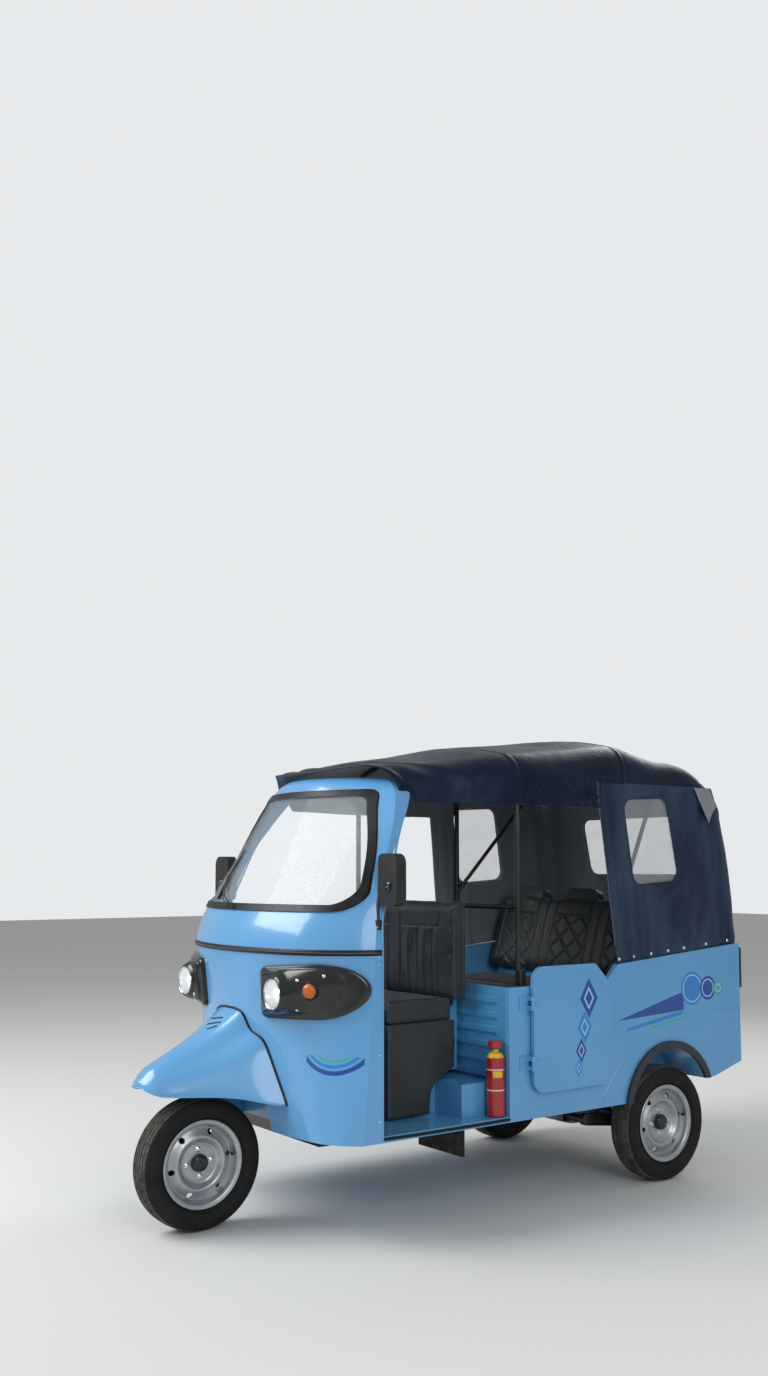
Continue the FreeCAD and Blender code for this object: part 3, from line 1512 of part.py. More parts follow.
def tail_lamp():
    body = new_body("tail_lamp")
    pad(body, outline(sketch_on(body, "YZ_Plane", along(-S.rear_overhang)), rounded([
        (586, 850, 12), (634, 850, 12), (634, 1052, 12), (586, 1052, 12)])),
        S.rear_overhang - S.tub_rear_x - S.fit)
    return body


lamp_left = tail_lamp()
node("tail_lamps", grouped("tail_lamp_pair", [lamp_left, mirrored("tail_lamp_right", lamp_left)]))
flap = block("mud_flap", (along(1240), along(1246)), (S.rail_half + S.rail_width + 1, S.body_half - 4),
             (280.0, S.floor_low_z - S.fit))
node("mud_flaps", grouped("mud_flap_pair", [flap, mirrored("mud_flap_right", flap)]))


doc.recompute()
faults = []
for thing in doc.Objects:
    if "Invalid" in thing.State or "Error" in thing.State:
        faults.append(f"{thing.Name}: {thing.State} {thing.getStatusString()}")
for thing in NODES:
    if thing.Shape.isNull() or not thing.Shape.isValid():
        faults.append(f"{thing.Label}: no valid shape")
if faults:
    raise SystemExit("\n".join(faults))
os.makedirs("parts", exist_ok=True)
for thing in NODES:
    thing.Shape.exportStep(f"parts/{thing.Label}.step")
    print(thing.Label, len(thing.Shape.Solids), round(thing.Shape.Volume))
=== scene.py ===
"""The finished look of the auto rickshaw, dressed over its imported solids."""

import json
import math

import bmesh
import bpy
import numpy as np
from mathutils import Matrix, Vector, noise
from mathutils.bvhtree import BVHTree


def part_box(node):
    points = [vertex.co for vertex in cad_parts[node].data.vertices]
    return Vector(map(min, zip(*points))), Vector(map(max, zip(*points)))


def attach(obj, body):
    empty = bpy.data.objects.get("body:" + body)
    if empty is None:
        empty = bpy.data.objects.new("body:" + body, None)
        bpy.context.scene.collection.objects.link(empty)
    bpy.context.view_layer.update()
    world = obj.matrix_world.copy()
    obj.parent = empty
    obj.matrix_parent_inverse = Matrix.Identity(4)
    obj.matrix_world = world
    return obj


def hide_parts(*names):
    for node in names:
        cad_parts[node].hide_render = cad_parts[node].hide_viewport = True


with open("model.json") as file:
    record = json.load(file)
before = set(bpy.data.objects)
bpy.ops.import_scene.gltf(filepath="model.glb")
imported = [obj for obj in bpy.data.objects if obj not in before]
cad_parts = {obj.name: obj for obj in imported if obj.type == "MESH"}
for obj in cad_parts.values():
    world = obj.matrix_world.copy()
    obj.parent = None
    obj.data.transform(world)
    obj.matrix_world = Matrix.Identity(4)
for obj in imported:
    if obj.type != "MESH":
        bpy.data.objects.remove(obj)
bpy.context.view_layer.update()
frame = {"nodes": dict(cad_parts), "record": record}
solids = frame["nodes"]

# The rear axle's place along X is in metres. All sizes in modelling are millimetres from that axle and the ground,
# and all sizes in the finishes are metres.
AXLE_X = -0.9265


def at(x, y, z):
    """A point in metres from millimetres ahead of the rear axle, left of the middle and above the ground."""
    return Vector((x / 1000 + AXLE_X, y / 1000, z / 1000))


def measured(point):
    """The same point in millimetres from the rear axle, the middle and the ground."""
    return Vector(((point.x - AXLE_X) * 1000, point.y * 1000, point.z * 1000))


def colour(code):
    """A hexadecimal screen colour as linear red, green and blue."""
    parts = [int(code[i:i + 2], 16) / 255 for i in (0, 2, 4)]
    return tuple(c / 12.92 if c < 0.04045 else ((c + 0.055) / 1.055) ** 2.4 for c in parts) + (1.0,)


# shader arithmetic

class Value:
    """A shader socket that takes part in sums."""

    def __init__(self, finish, socket):
        self.finish = finish
        self.socket = socket

    def math(self, operation, *others, first=None):
        parts = [self if first is None else first, *others]
        return self.finish.node("ShaderNodeMath", {"operation": operation}, dict(enumerate(parts)))

    def __rsub__(self, other):
        return self.math("SUBTRACT", self, first=other)

    def clamped(self):
        return self.finish.node("ShaderNodeClamp", {}, {0: self})

    def inside(self, soft=0.0008):
        """1 where a signed distance is below nought, 0 where it is above."""
        return (0.5 - self / soft).clamped()


def summed(operation):
    """A method that works out one sum with a shader node."""
    return lambda value, *others: value.math(operation, *others)


for method, operation in {"__add__": "ADD", "__radd__": "ADD", "__sub__": "SUBTRACT", "__mul__": "MULTIPLY",
                          "__rmul__": "MULTIPLY", "__truediv__": "DIVIDE", "__pow__": "POWER", "__abs__": "ABSOLUTE",
                          "low": "MINIMUM", "high": "MAXIMUM", "root": "SQRT"}.items():
    setattr(Value, method, summed(operation))


class Finish:
    """A procedural material of one Principled shader."""

    def __init__(self, name, **fixed):
        self.material = bpy.data.materials.new(name)
        self.material.use_nodes = True
        self.tree = self.material.node_tree
        self.shader = self.tree.nodes["Principled BSDF"]
        self.place = self.node("ShaderNodeTexCoord", {}, {}, "Object")
        for key, value in fixed.items():
            self.shader.inputs[key.replace("_", " ").title().replace("Ior", "IOR")].default_value = value

    def node(self, kind, settings, inputs, output=0):
        made = self.tree.nodes.new(kind)
        for key, value in settings.items():
            if key == "stops":
                ramp = made.color_ramp
                while len(ramp.elements) < len(value):
                    ramp.elements.new(0.5)
                for stop, (spot, shade) in zip(ramp.elements, value):
                    stop.position = spot
                    stop.color = shade
            else:
                setattr(made, key, value)
        for key, value in inputs.items():
            if isinstance(value, Value):
                self.tree.links.new(value.socket, made.inputs[key])
            else:
                made.inputs[key].default_value = value
        return Value(self, made.outputs[output])

    def axes(self):
        """X, Y and Z of the point on the piece, in metres."""
        split = self.node("ShaderNodeSeparateXYZ", {}, {0: self.place})
        return [Value(self, output) for output in split.socket.node.outputs]

    def mapped(self, stretch=(1, 1, 1), turn=(0, 0, 0)):
        return self.node("ShaderNodeMapping", {}, {"Vector": self.place, "Scale": stretch, "Rotation": turn})

    def noise(self, scale, detail=3.0, rough=0.5, stretch=(1, 1, 1), turn=(0, 0, 0)):
        values = {"Vector": self.mapped(stretch, turn), "Scale": scale, "Detail": detail, "Roughness": rough}
        return self.node("ShaderNodeTexNoise", {}, values)

    def cells(self, scale, stretch=(1, 1, 1)):
        return self.node("ShaderNodeTexVoronoi", {}, {"Vector": self.mapped(stretch), "Scale": scale}, "Distance")

    def spread(self, value, low, high):
        """Stretches the range from low to high to 0 to 1."""
        return ((value - low) / (high - low)).clamped()

    def patches(self, low, high, *noise):
        """Cloudy patches from 0 to 1."""
        return self.spread(self.noise(*noise), low, high)

    def mix(self, share, under, over):
        settings = {"data_type": "RGBA"}
        return self.node("ShaderNodeMix", settings, {0: share, 6: under, 7: over}, 2)

    def bump(self, height, depth, strength=1.0, under=None):
        values = {"Height": height, "Distance": depth, "Strength": strength}
        if under is not None:
            values["Normal"] = under
        return self.node("ShaderNodeBump", {}, values)

    def feed(self, **links):
        for key, value in links.items():
            self.tree.links.new(value.socket, self.shader.inputs[key.replace("_", " ").title()])
        return self.material


# paints, plastics, metals, cloths

PAINT = colour("62A3D6")
PAINT_SHADE = colour("4E93C8")
DECAL_DEEP = colour("1F4C9C")
DECAL_MID = colour("2C83D2")
DECAL_TEAL = colour("3FA9A6")
DECAL_PALE = colour("9CCBEA")


def painted(name, decal=None, base=PAINT, relief=None):
    """Glossy body paint, a little dusty low down, with an optional pattern of stickers."""
    finish = Finish(name, coat_weight=0.55, coat_roughness=0.06, specular_ior_level=0.45)
    x, y, z = finish.axes()
    shade = finish.mix(finish.patches(0.35, 0.7, 2.6, 3, 0.5) * 0.35, base, PAINT_SHADE)
    dust = finish.patches(0.38, 0.75, 9, 6, 0.6) * finish.spread(0.66 - z, 0.0, 0.34)
    shade = finish.mix(dust * 0.09, shade, colour("8C8A84"))
    if decal:
        shade = decal(finish, shade, x, y, z)
    rough = 0.22 + dust * 0.16 + finish.patches(0.3, 0.7, 40, 3, 0.5) * 0.04
    skin = finish.bump(finish.noise(300, 2, 0.4), 0.0003, 0.05)
    if relief:
        skin = finish.bump(relief(finish, x, z), 0.008, 1.0, skin)
    return finish.feed(base_color=shade, roughness=rough, normal=skin)


def bar(along, across, middle, length, width):
    """Signed distance to a bar with round ends that lies along the first value."""
    over = (abs(along - middle) - length / 2).high(0.0)
    return (over * over + across * across).root() - width / 2


def disc(a, b, a_middle, b_middle, radius):
    """Signed distance to a round field."""
    da = a - a_middle
    db = b - b_middle
    return (da * da + db * db).root() - radius


def tub_stickers(finish, shade, x, y, z):
    """Long level stripes behind a group of rings, on both sides of the tub."""
    skin = (0.637 - abs(y)).inside(0.002)
    ahead = x - AXLE_X
    slope = z - 0.832 - (ahead + 0.20) * -0.14
    tail = 0.040 * finish.spread(0.36 - ahead, 0.0, 0.42)
    deep = (abs(slope) - tail).inside()
    deep = deep * finish.spread(0.355 - ahead, 0.0, 0.002) * finish.spread(ahead + 0.09, 0.0, 0.002)
    thin = bar(ahead, slope + 0.052, 0.11, 0.36, 0.016).inside()
    under = bar(ahead, slope + 0.076, 0.02, 0.24, 0.010).inside()
    shade = finish.mix(deep * skin, shade, DECAL_DEEP)
    shade = finish.mix(thin * skin, shade, DECAL_MID)
    shade = finish.mix(under * skin, shade, DECAL_TEAL)
    for middle, up, size, tone in ((-0.150, 0.870, 0.078, DECAL_MID), (-0.262, 0.866, 0.056, DECAL_DEEP),
                                   (-0.338, 0.862, 0.034, DECAL_TEAL)):
        ring = disc(ahead, z, middle, up, size)
        shade = finish.mix(ring.inside() * skin, shade, tone)
        shade = finish.mix((abs(ring + 0.016) - 0.003).inside() * skin, shade, DECAL_PALE)
    return shade


def arch_shoulder(finish, x, z):
    """The shoulder pressed into the tub above and ahead of the rear wheel arch."""
    fall = ((x - AXLE_X + 0.006) / 0.455).high(0.0)
    edge = 0.765 - fall * fall * 0.319
    return finish.spread(edge - z, 0.0, 0.016) * (x - AXLE_X - 0.45).inside(0.01)


def door_stickers(finish, shade, x, y, z):
    """A leaning row of lozenges, large above and small below."""
    skin = (0.662 - abs(y)).inside(0.002)
    ahead = x - AXLE_X
    for middle, up, size, tone in ((0.560, 0.870, 0.078, DECAL_DEEP), (0.588, 0.748, 0.062, DECAL_MID),
                                   (0.610, 0.650, 0.048, DECAL_DEEP), (0.627, 0.576, 0.034, DECAL_MID)):
        lozenge = (abs(ahead - middle) * 1.15 + abs(z - up) * 0.72 - size * 0.8)
        shade = finish.mix(lozenge.inside() * skin, shade, tone)
        shade = finish.mix((lozenge + size * 0.34).inside() * skin, shade, DECAL_PALE)
        shade = finish.mix((lozenge + size * 0.48).inside() * skin, shade, tone)
    return shade


def apron_stickers(finish, shade, x, y, z):
    """Three nested arcs under each lamp pod."""
    skin = (0.40 - abs(y)).inside(0.002) * (z - 0.80).inside(0.002)
    side = abs(y) - 0.530
    for radius, wide, tone in ((0.150, 0.0085, DECAL_DEEP), (0.126, 0.0065, DECAL_MID), (0.106, 0.0045, DECAL_TEAL)):
        ring = abs((side * side * 1.3 + (z - 0.800) * (z - 0.800)).root() - radius) - wide
        wedge = (z - 0.715).inside(0.002) * (abs(side) - 0.098).inside(0.002)
        shade = finish.mix(ring.inside() * skin * wedge, shade, tone)
    return shade


def worn(finish, code, dusty, share, patches, rough, grain, depth, strength):
    """One colour with patches of another, duller there, over a fine grain."""
    wear = finish.patches(*patches)
    shade = finish.mix(wear * share, colour(code), colour(dusty))
    plain, duller = rough
    return finish.feed(base_color=shade, roughness=plain + wear * duller, normal=finish.bump(grain, depth, strength))


def rubber(name, code, rough=0.62, dust=0.18):
    finish = Finish(name, specular_ior_level=0.35)
    return worn(finish, code, "6E6A62", dust, (0.45, 0.75, 26, 6, 0.6), (rough, 0.12), finish.noise(700, 3, 0.6),
                0.0003, 0.35)


def tyre_rubber(name, code, dusty, dust):
    """Black rubber with dust caught in its grain."""
    finish = Finish(name, specular_ior_level=0.3)
    return worn(finish, code, dusty, dust, (0.35, 0.75, 18, 6, 0.6), (0.72, 0.15), finish.noise(520, 4, 0.6), 0.0005,
                0.4)


def plastic(name, code, rough=0.3, coat=0.3, grain=0.1):
    finish = Finish(name, coat_weight=coat, coat_roughness=0.08)
    return worn(finish, code, "5A5F62", 0.12, (0.4, 0.75, 9, 5, 0.6), (rough, 0.08), finish.cells(900), 0.0002, grain)


def bottle():
    """Red enamel with pale bands, a yellow patch and a yellow collar under the valve."""
    finish = Finish("bottle_red", coat_weight=0.6, coat_roughness=0.06, roughness=0.26)
    x, y, z = finish.axes()
    shade = finish.mix(finish.patches(0.4, 0.7, 30, 4, 0.6) * 0.3, colour("A5171A"), colour("7C0F12"))
    for height in (0.521, 0.604):
        shade = finish.mix((abs(z - height) - 0.0025).inside(), shade, colour("D9D3C6"))
    collar = (abs(z - 0.668) - 0.016).inside()
    patch = ((abs(z - 0.586) - 0.013).high(abs(x - AXLE_X - 1.052) - 0.018)).inside() * (0.60 - y).inside(0.002)
    shade = finish.mix(collar.high(patch), shade, colour("E0B413"))
    return finish.feed(base_color=shade)


def metal(name, code, rough=0.35, metallic=0.85, grain=0.15):
    finish = Finish(name, metallic=metallic)
    return worn(finish, code, "55585A", 0.25, (0.42, 0.72, 22, 6, 0.6), (rough, 0.12), finish.noise(600, 3, 0.5),
                0.0002, grain)


def glass(name, alpha, tint="DCE9EE", rough=0.03):
    """Clear sheet with pale smears."""
    finish = Finish(name, ior=1.5, specular_ior_level=0.3)
    smear = finish.patches(0.45, 0.8, 5, 4, 0.6, (1, 1, 2.4))
    shade = finish.mix(smear * 0.4, colour(tint), colour("F2F5F6"))
    return finish.feed(base_color=shade, alpha=alpha + smear * 0.05, roughness=rough + smear * 0.05)


def lens(name, code, alpha, rib="FFFFFF", pitch=260.0):
    """A moulded lamp lens with fine ribs."""
    finish = Finish(name, ior=1.49, coat_weight=0.7, coat_roughness=0.04)
    ribs = finish.node("ShaderNodeTexWave", {"bands_direction": "Y"}, {"Vector": finish.place, "Scale": pitch / 6.28})
    shade = finish.mix(ribs * 0.3, colour(code), colour(rib))
    return finish.feed(base_color=shade, alpha=alpha + ribs * 0.1, normal=finish.bump(ribs, 0.0012, 0.5))


def vinyl(name, code, worn):
    """Seat vinyl with a pebbled grain, paler where it is rubbed."""
    finish = Finish(name, sheen_weight=0.1, sheen_roughness=0.4, specular_ior_level=0.45)
    rubbed = finish.patches(0.42, 0.72, 5, 5, 0.62)
    fine = finish.patches(0.4, 0.7, 46, 5, 0.6)
    shade = finish.mix(rubbed * 0.5, colour(code), colour(worn))
    shade = finish.mix(fine * 0.12, shade, colour("0E1112"))
    pebble = finish.cells(520)
    skin = finish.bump(pebble, 0.0006, 0.35, finish.bump(finish.noise(24, 4, 0.55), 0.004, 0.22))
    return finish.feed(base_color=shade, roughness=0.40 + rubbed * 0.14 + fine * 0.05, normal=skin)


def canvas(name, code, fade_and_sheen, streak_and_sheen, rough):
    """Coated canopy cloth: a close weave, with paler streaks of fading and dust that are partly a painted sheen."""
    # the reflections are tinted blue: a painted reflection of a blue sky
    finish = Finish(name, specular_tint=colour("A9C4EC"), specular_ior_level=0.42)
    weave = finish.node("ShaderNodeTexWave", {"bands_direction": "Z"}, {"Vector": finish.place, "Scale": 420.0})
    cross = finish.node("ShaderNodeTexWave", {"bands_direction": "X"}, {"Vector": finish.place, "Scale": 420.0})
    fade_and_sheen_cloud = finish.patches(0.40, 0.70, 3.2, 6, 0.6, (1.6, 1.6, 0.6))
    fleck = finish.patches(0.5, 0.75, 60, 5, 0.65)
    # the paler colour is fading and dust, and partly a painted sheen
    shade = finish.mix(fade_and_sheen_cloud * streak_and_sheen, colour(code), colour(fade_and_sheen))
    shade = finish.mix(fleck * 0.16, shade, colour(fade_and_sheen))
    crumple = finish.bump(finish.noise(17, 5, 0.55), 0.010, 0.3)
    skin = finish.bump(weave + cross, 0.0003, 0.25, crumple)
    return finish.feed(base_color=shade, roughness=rough + fade_and_sheen_cloud * 0.16 + fleck * 0.1, normal=skin)


PAINT_PLAIN = painted("body_paint")
PAINT_APRON = painted("body_paint_apron", apron_stickers)
PAINT_DOOR = painted("body_paint_door", door_stickers)
PAINT_TUB = painted("body_paint_tub", tub_stickers, PAINT, arch_shoulder)
# a deeper blue copy of the body paint for the parts inside the body: painted shade
PAINT_INNER_SHADED = painted("body_paint_inner_shaded", None, colour("4E97C6"))
TYRE = tyre_rubber("tyre_sidewall", "121314", "3A3834", 0.35)
TYRE_DUSTY = tyre_rubber("tyre_tread", "3A3936", "77736B", 0.6)
SEAL = rubber("seal_rubber", "0B0C0E", 0.38, 0.06)
SEAL_LINE = rubber("seal_line", "4C5356", 0.35, 0.1)
FLAP = rubber("flap_rubber", "121416", 0.7, 0.3)
POD = plastic("pod_plastic", "07080A", 0.2, 0.35)
GRAINED = plastic("grained_plastic", "16191B", 0.45, 0.0, 0.4)
ARCH = plastic("arch_plastic", "262D38", 0.5, 0.1, 0.3)
FRAME_BLACK = plastic("frame_black", "08090B", 0.32, 0.3)
SILVER = metal("wheel_silver", "B4B8BB", 0.33, 0.78)
# near-black iron for the drum and its back plate, partly painted shade for what the disc's holes show
DRUM_DARK_AS_SHADE = metal("brake_drum_and_painted_shade", "1C1D1F", 0.6, 0.4)
CHROME = metal("chrome", "E6E8EA", 0.10, 1.0, 0.02)
CASTING = metal("engine_casting", "8B8E90", 0.5, 0.8, 0.4)
CLEAR = glass("clear_glass", 0.13)
FILM = glass("window_film", 0.20, "C9D2D6", 0.12)
VINYL = vinyl("seat_vinyl", "23292B", "3A4245")
# the second, paler colour of each cloth is partly a painted sheen
ROOF_CLOTH = canvas("canopy_cloth", "050F20", "18283E", 0.22, 0.25)
CURTAIN_CLOTH = canvas("curtain_cloth", "15243A", "465A70", 0.5, 0.29)
# a paler grey than the lining's own: painted light on the canopy's inside, where little light reaches
LINING_PAINTED_LIGHT = canvas("canopy_lining_painted_light", "848B8F", "969C9E", 0.4, 0.6)
LAMP_GLASS = lens("lamp_glass", "F4F8FA", 0.42)
LAMP_AMBER = lens("lamp_amber", "B84A08", 0.97, "F0921E")
LAMP_RED = lens("lamp_red", "98100F", 0.96, "C42A22")
LAMP_WHITE = plastic("lamp_white", "ECEFF0", 0.3)
LAMP_LIT = Finish("lamp_lit", emission_strength=1.0, emission_color=colour("F6F8FA"), base_color=colour("F6F8FA"))
BOTTLE_RED = bottle()
MIRROR = metal("mirror_face", "DDE3E6", 0.03, 1.0, 0.0)

SLOT_FINISH = {
    "tyre": TYRE, "wheel_silver": SILVER, "body_paint": PAINT_PLAIN, "clear_glass": CLEAR, "seal_rubber": SEAL,
    "pod_plastic": POD, "lamp_lens": LAMP_GLASS, "chassis_paint": FRAME_BLACK, "seat_vinyl": VINYL,
    "arch_plastic": ARCH, "canopy_cloth": ROOF_CLOTH, "curtain_cloth": CURTAIN_CLOTH, "engine_casting": CASTING,
    "bottle_red": BOTTLE_RED, "tail_red": LAMP_RED,
}
# the floor, partition, boxes, wheel housing and dash shelf take the deeper copy of the paint, which is painted shade
NODE_FINISH = {
    "cab_apron": PAINT_APRON, "door_left": PAINT_DOOR, "door_right": PAINT_DOOR, "tub_left": PAINT_TUB,
    "tub_right": PAINT_TUB, "floor": PAINT_INNER_SHADED, "partition": PAINT_INNER_SHADED, "step_box": PAINT_INNER_SHADED,
    "driver_seat_box": PAINT_INNER_SHADED, "passenger_seat_box": PAINT_INNER_SHADED, "wheel_housing": PAINT_INNER_SHADED,
    "mirrors": GRAINED, "mud_flaps": FLAP, "dash_shelf": PAINT_INNER_SHADED, "tail_lamps": POD,
}


def finish_solids():
    for part in frame["record"]["subparts"]:
        holder = solids[part["node"]].material_slots[0]
        holder.link = "OBJECT"
        holder.material = NODE_FINISH.get(part["node"], SLOT_FINISH[part["material_slot"]])


finish_solids()


# modelling steps

# points closer than this are one point, in metres
MERGED = 0.00002


def alone(piece):
    """Makes a piece the only selected one."""
    bpy.ops.object.select_all(action="DESELECT")
    piece.select_set(True)
    bpy.context.view_layer.objects.active = piece
    return piece


def settle(piece):
    """Puts a piece's place, turn and size into its mesh."""
    alone(piece)
    bpy.ops.object.transform_apply(location=True, rotation=True, scale=True)
    return piece


def modify(piece, kind, **settings):
    alone(piece)
    made = piece.modifiers.new(kind.lower(), kind)
    for key, value in settings.items():
        setattr(made, key, value)
    bpy.ops.object.modifier_apply(modifier=made.name)
    return piece


def smooth(piece, degrees=35):
    alone(piece)
    bpy.ops.object.shade_smooth_by_angle(angle=math.radians(degrees))
    return piece


def finished(piece, name, body, material):
    """Names a piece, gives it its finish and lets it ride on a body."""
    piece.name = name
    piece.data.name = name
    piece.data.materials.clear()
    piece.data.materials.append(material)
    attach(piece, body)
    return piece


def copied(piece):
    made = piece.copy()
    made.data = piece.data.copy()
    bpy.context.collection.objects.link(made)
    return made


def mirrored(piece):
    """A copy on the other side of the vehicle's middle plane."""
    made = copied(piece)
    made.scale.y = -1
    settle(made)
    bpy.ops.object.mode_set(mode="EDIT")
    evened()
    return made


def joined(pieces):
    bpy.ops.object.select_all(action="DESELECT")
    for piece in pieces:
        piece.select_set(True)
    bpy.context.view_layer.objects.active = pieces[0]
    bpy.ops.object.join()
    return pieces[0]


def edited_plane():
    """A small plane in edit mode with all of it selected, to draw a piece from."""
    bpy.ops.object.select_all(action="DESELECT")
    bpy.ops.mesh.primitive_plane_add(size=0.002, location=(0, 0, 0))
    bpy.ops.object.mode_set(mode="EDIT")
    bpy.ops.mesh.select_all(action="SELECT")
    return bpy.context.object


def draw_line(points):
    """Turns the selected plane into a line of edges through points."""
    bpy.ops.mesh.merge(type="CENTER")
    bpy.ops.transform.translate(value=points[0])
    for start, end in zip(points, points[1:]):
        bpy.ops.mesh.extrude_region_move(TRANSFORM_OT_translate={"value": end - start})


def evened():
    """Turns all faces outwards and leaves edit mode."""
    bpy.ops.mesh.select_all(action="SELECT")
    bpy.ops.mesh.normals_make_consistent(inside=False)
    bpy.ops.object.mode_set(mode="OBJECT")


def turned(centre, axis, profile, steps=40, out=None):
    """Spins a profile of (radius, distance along the axis) points, in millimetres, round an axis."""
    axis = Vector(axis).normalized()
    out = Vector(out).normalized() if out else axis.orthogonal().normalized()
    piece = edited_plane()
    draw_line([centre + out * (r / 1000) + axis * (h / 1000) for r, h in profile])
    bpy.ops.mesh.select_all(action="SELECT")
    bpy.ops.mesh.spin(steps=steps, angle=2 * math.pi, center=centre, axis=axis)
    bpy.ops.mesh.select_all(action="SELECT")
    bpy.ops.mesh.remove_doubles(threshold=MERGED)
    evened()
    return smooth(piece, 40)


def lofted(rows, closed=False):
    """Bridges rows of points, each first drawn as a line of edges."""
    piece = edited_plane()
    bpy.ops.mesh.delete(type="VERT")
    for row in rows:
        bpy.ops.mesh.primitive_plane_add(size=0.002, location=(0, 0, 0))
        draw_line(row + row[:1] * closed)
    bpy.ops.mesh.select_all(action="SELECT")
    bpy.ops.mesh.remove_doubles(threshold=MERGED)
    for pair in zip(rows, rows[1:]):
        mesh = bmesh.from_edit_mesh(piece.data)
        for part in (*mesh.faces, *mesh.edges):
            part.select_set(False)
        for edge in mesh.edges:
            if any(all(any((v.co - p).length_squared < 1e-9 for p in row) for v in edge.verts) for row in pair):
                edge.select_set(True)
        bmesh.update_edit_mesh(piece.data)
        bpy.ops.mesh.bridge_edge_loops()
    evened()
    bpy.ops.object.shade_smooth()
    return piece


def block(low, high, round_edge=2.0, turn=None):
    """A box with rounded edges between two corners, turned about its own middle."""
    bpy.ops.object.select_all(action="DESELECT")
    bpy.ops.mesh.primitive_cube_add(size=1, location=(low + high) / 2)
    piece = bpy.context.object
    piece.scale = high - low
    bpy.ops.object.transform_apply(location=False, rotation=False, scale=True)
    if turn:
        piece.rotation_euler = turn
    modify(piece, "BEVEL", width=round_edge / 1000, segments=3)
    settle(piece)
    return smooth(piece)


def tube(points, radius, steps=4, closed=False, order=3):
    """A round tube along points, as a mesh: a smooth line at order 3, straight pieces at order 1."""
    line = bpy.data.curves.new("route", "CURVE")
    line.dimensions = "3D"
    line.bevel_depth = radius / 1000
    line.bevel_resolution = steps
    line.use_fill_caps = not closed
    route = line.splines.new("POLY" if order == 1 else "NURBS")
    route.points.add(len(points) - 1)
    for spot, point in zip(route.points, points):
        spot.co = (*point, 1.0)
    if order != 1:
        route.order_u = order
        route.use_endpoint_u = not closed
        route.resolution_u = 6
    route.use_cyclic_u = closed
    piece = bpy.data.objects.new("route", line)
    bpy.context.collection.objects.link(piece)
    alone(piece)
    bpy.ops.object.convert(target="MESH")
    piece = bpy.context.object
    bpy.ops.object.shade_smooth()
    return piece


def press(piece, depth):
    """Moves each point along its normal by depth(point in millimetres), in millimetres."""
    mesh = piece.data
    normals = [v.normal.copy() for v in mesh.vertices]
    for vertex, normal in zip(mesh.vertices, normals):
        vertex.co += normal * (depth(measured(vertex.co), normal) / 1000)
    mesh.update()
    return piece


skins = {}


def skin(name):
    """A CAD node's surface, to lay pieces on."""
    if name not in skins:
        made = bmesh.new()
        made.from_mesh(solids[name].data)
        skins[name] = BVHTree.FromBMesh(made)
        made.free()
    return skins[name]


def on_surface(name, origin, direction, lift=0.0):
    """Where a line from a point meets a CAD node, raised a little, and the surface's normal there."""
    spot, normal, _, _ = skin(name).ray_cast(origin, Vector(direction).normalized())
    if spot is None:
        return None, None
    if normal.dot(Vector(direction)) > 0:
        normal = -normal
    return spot + normal * (lift / 1000), normal


def bell(distance, width):
    return math.exp(-(distance / width) ** 2)


def wander(point, scale, seed=0.0):
    """Smooth noise between about -1 and 1, its features some scale millimetres across."""
    return noise.noise(Vector((point.x / scale + seed, point.y / scale + seed * 1.7, point.z / scale)))


def segment_distance(a, b, start, end):
    """Distance in a plane from (a, b) to a line between two points."""
    run = (end[0] - start[0], end[1] - start[1])
    share = ((a - start[0]) * run[0] + (b - start[1]) * run[1]) / (run[0] ** 2 + run[1] ** 2)
    share = min(1.0, max(0.0, share))
    return math.hypot(a - start[0] - run[0] * share, b - start[1] - run[1] * share)


def second_finish(piece, material, chosen):
    """Gives the faces that are chosen another finish."""
    piece.data.materials.append(material)
    for face in piece.data.polygons:
        face.material_index = int(chosen(face))
    return piece


def looks_in(face):
    """Says if a face looks into the vehicle."""
    here = measured(face.center)
    return face.normal.dot(Vector((here.x - 500, here.y * 1.6, (here.z - 1300) * 1.2))) < 0


# the cloth's thickness, in metres
CLOTH = 0.003


def fixed(pieces, name, slot, material):
    """One piece, or several joined, fixed on the vehicle's body."""
    return finished(joined(pieces) if isinstance(pieces, list) else pieces, name, "vehicle", material)


def linked(mesh, name):
    """A piece made of a finished bmesh."""
    data = bpy.data.meshes.new(name)
    mesh.to_mesh(data)
    mesh.free()
    piece = bpy.data.objects.new(name, data)
    bpy.context.collection.objects.link(piece)
    return piece


def weave(mesh, rows):
    """Faces between neighbouring rows of points."""
    for first, second in zip(rows, rows[1:]):
        for k in range(len(first) - 1):
            mesh.faces.new((first[k], second[k], second[k + 1], first[k + 1]))
    return mesh


def sheet_of(mesh, name, axis, side=1):
    """A bmesh as a piece, with the face farthest along an axis looking that way."""
    bmesh.ops.recalc_face_normals(mesh, faces=mesh.faces[:])
    piece = linked(mesh, name)
    face = max(piece.data.polygons, key=lambda p: p.center[axis] * side)
    if face.normal[axis] * side < 0:
        piece.data.flip_normals()
    return piece


def slice_faces(mesh, faces, spot, normal):
    """Cuts faces along a plane and returns those that are there then."""
    geometry = set(faces)
    for face in faces:
        geometry.update(face.edges)
        geometry.update(face.verts)
    cut = bmesh.ops.bisect_plane(mesh, geom=list(geometry), dist=1e-6, plane_co=spot, plane_no=normal)
    return [part for part in cut["geom"] if isinstance(part, bmesh.types.BMFace)]


# canopy roof

ROOF_REAR = -368
ROOF_FRONT = 1640
# from here forward the sheet's front edge follows the brow
BROW_FROM = 1200
# ahead of the rear axle, half width, crown, corner radius, crown radius
HOOPS = [
    (ROOF_REAR, 600, 1872, 50, 3000), (-236, 606, 1978, 84, 2400), (-4, 610, 2018, 110, 2400),
    (262, 612, 2056, 120, 2400), (906, 612, 1986, 140, 2400), (1400, 472, 1898, 120, 2600),
    (ROOF_FRONT, 452, 1825.4, 120, 9000),
]
BOWS = (262, 906)


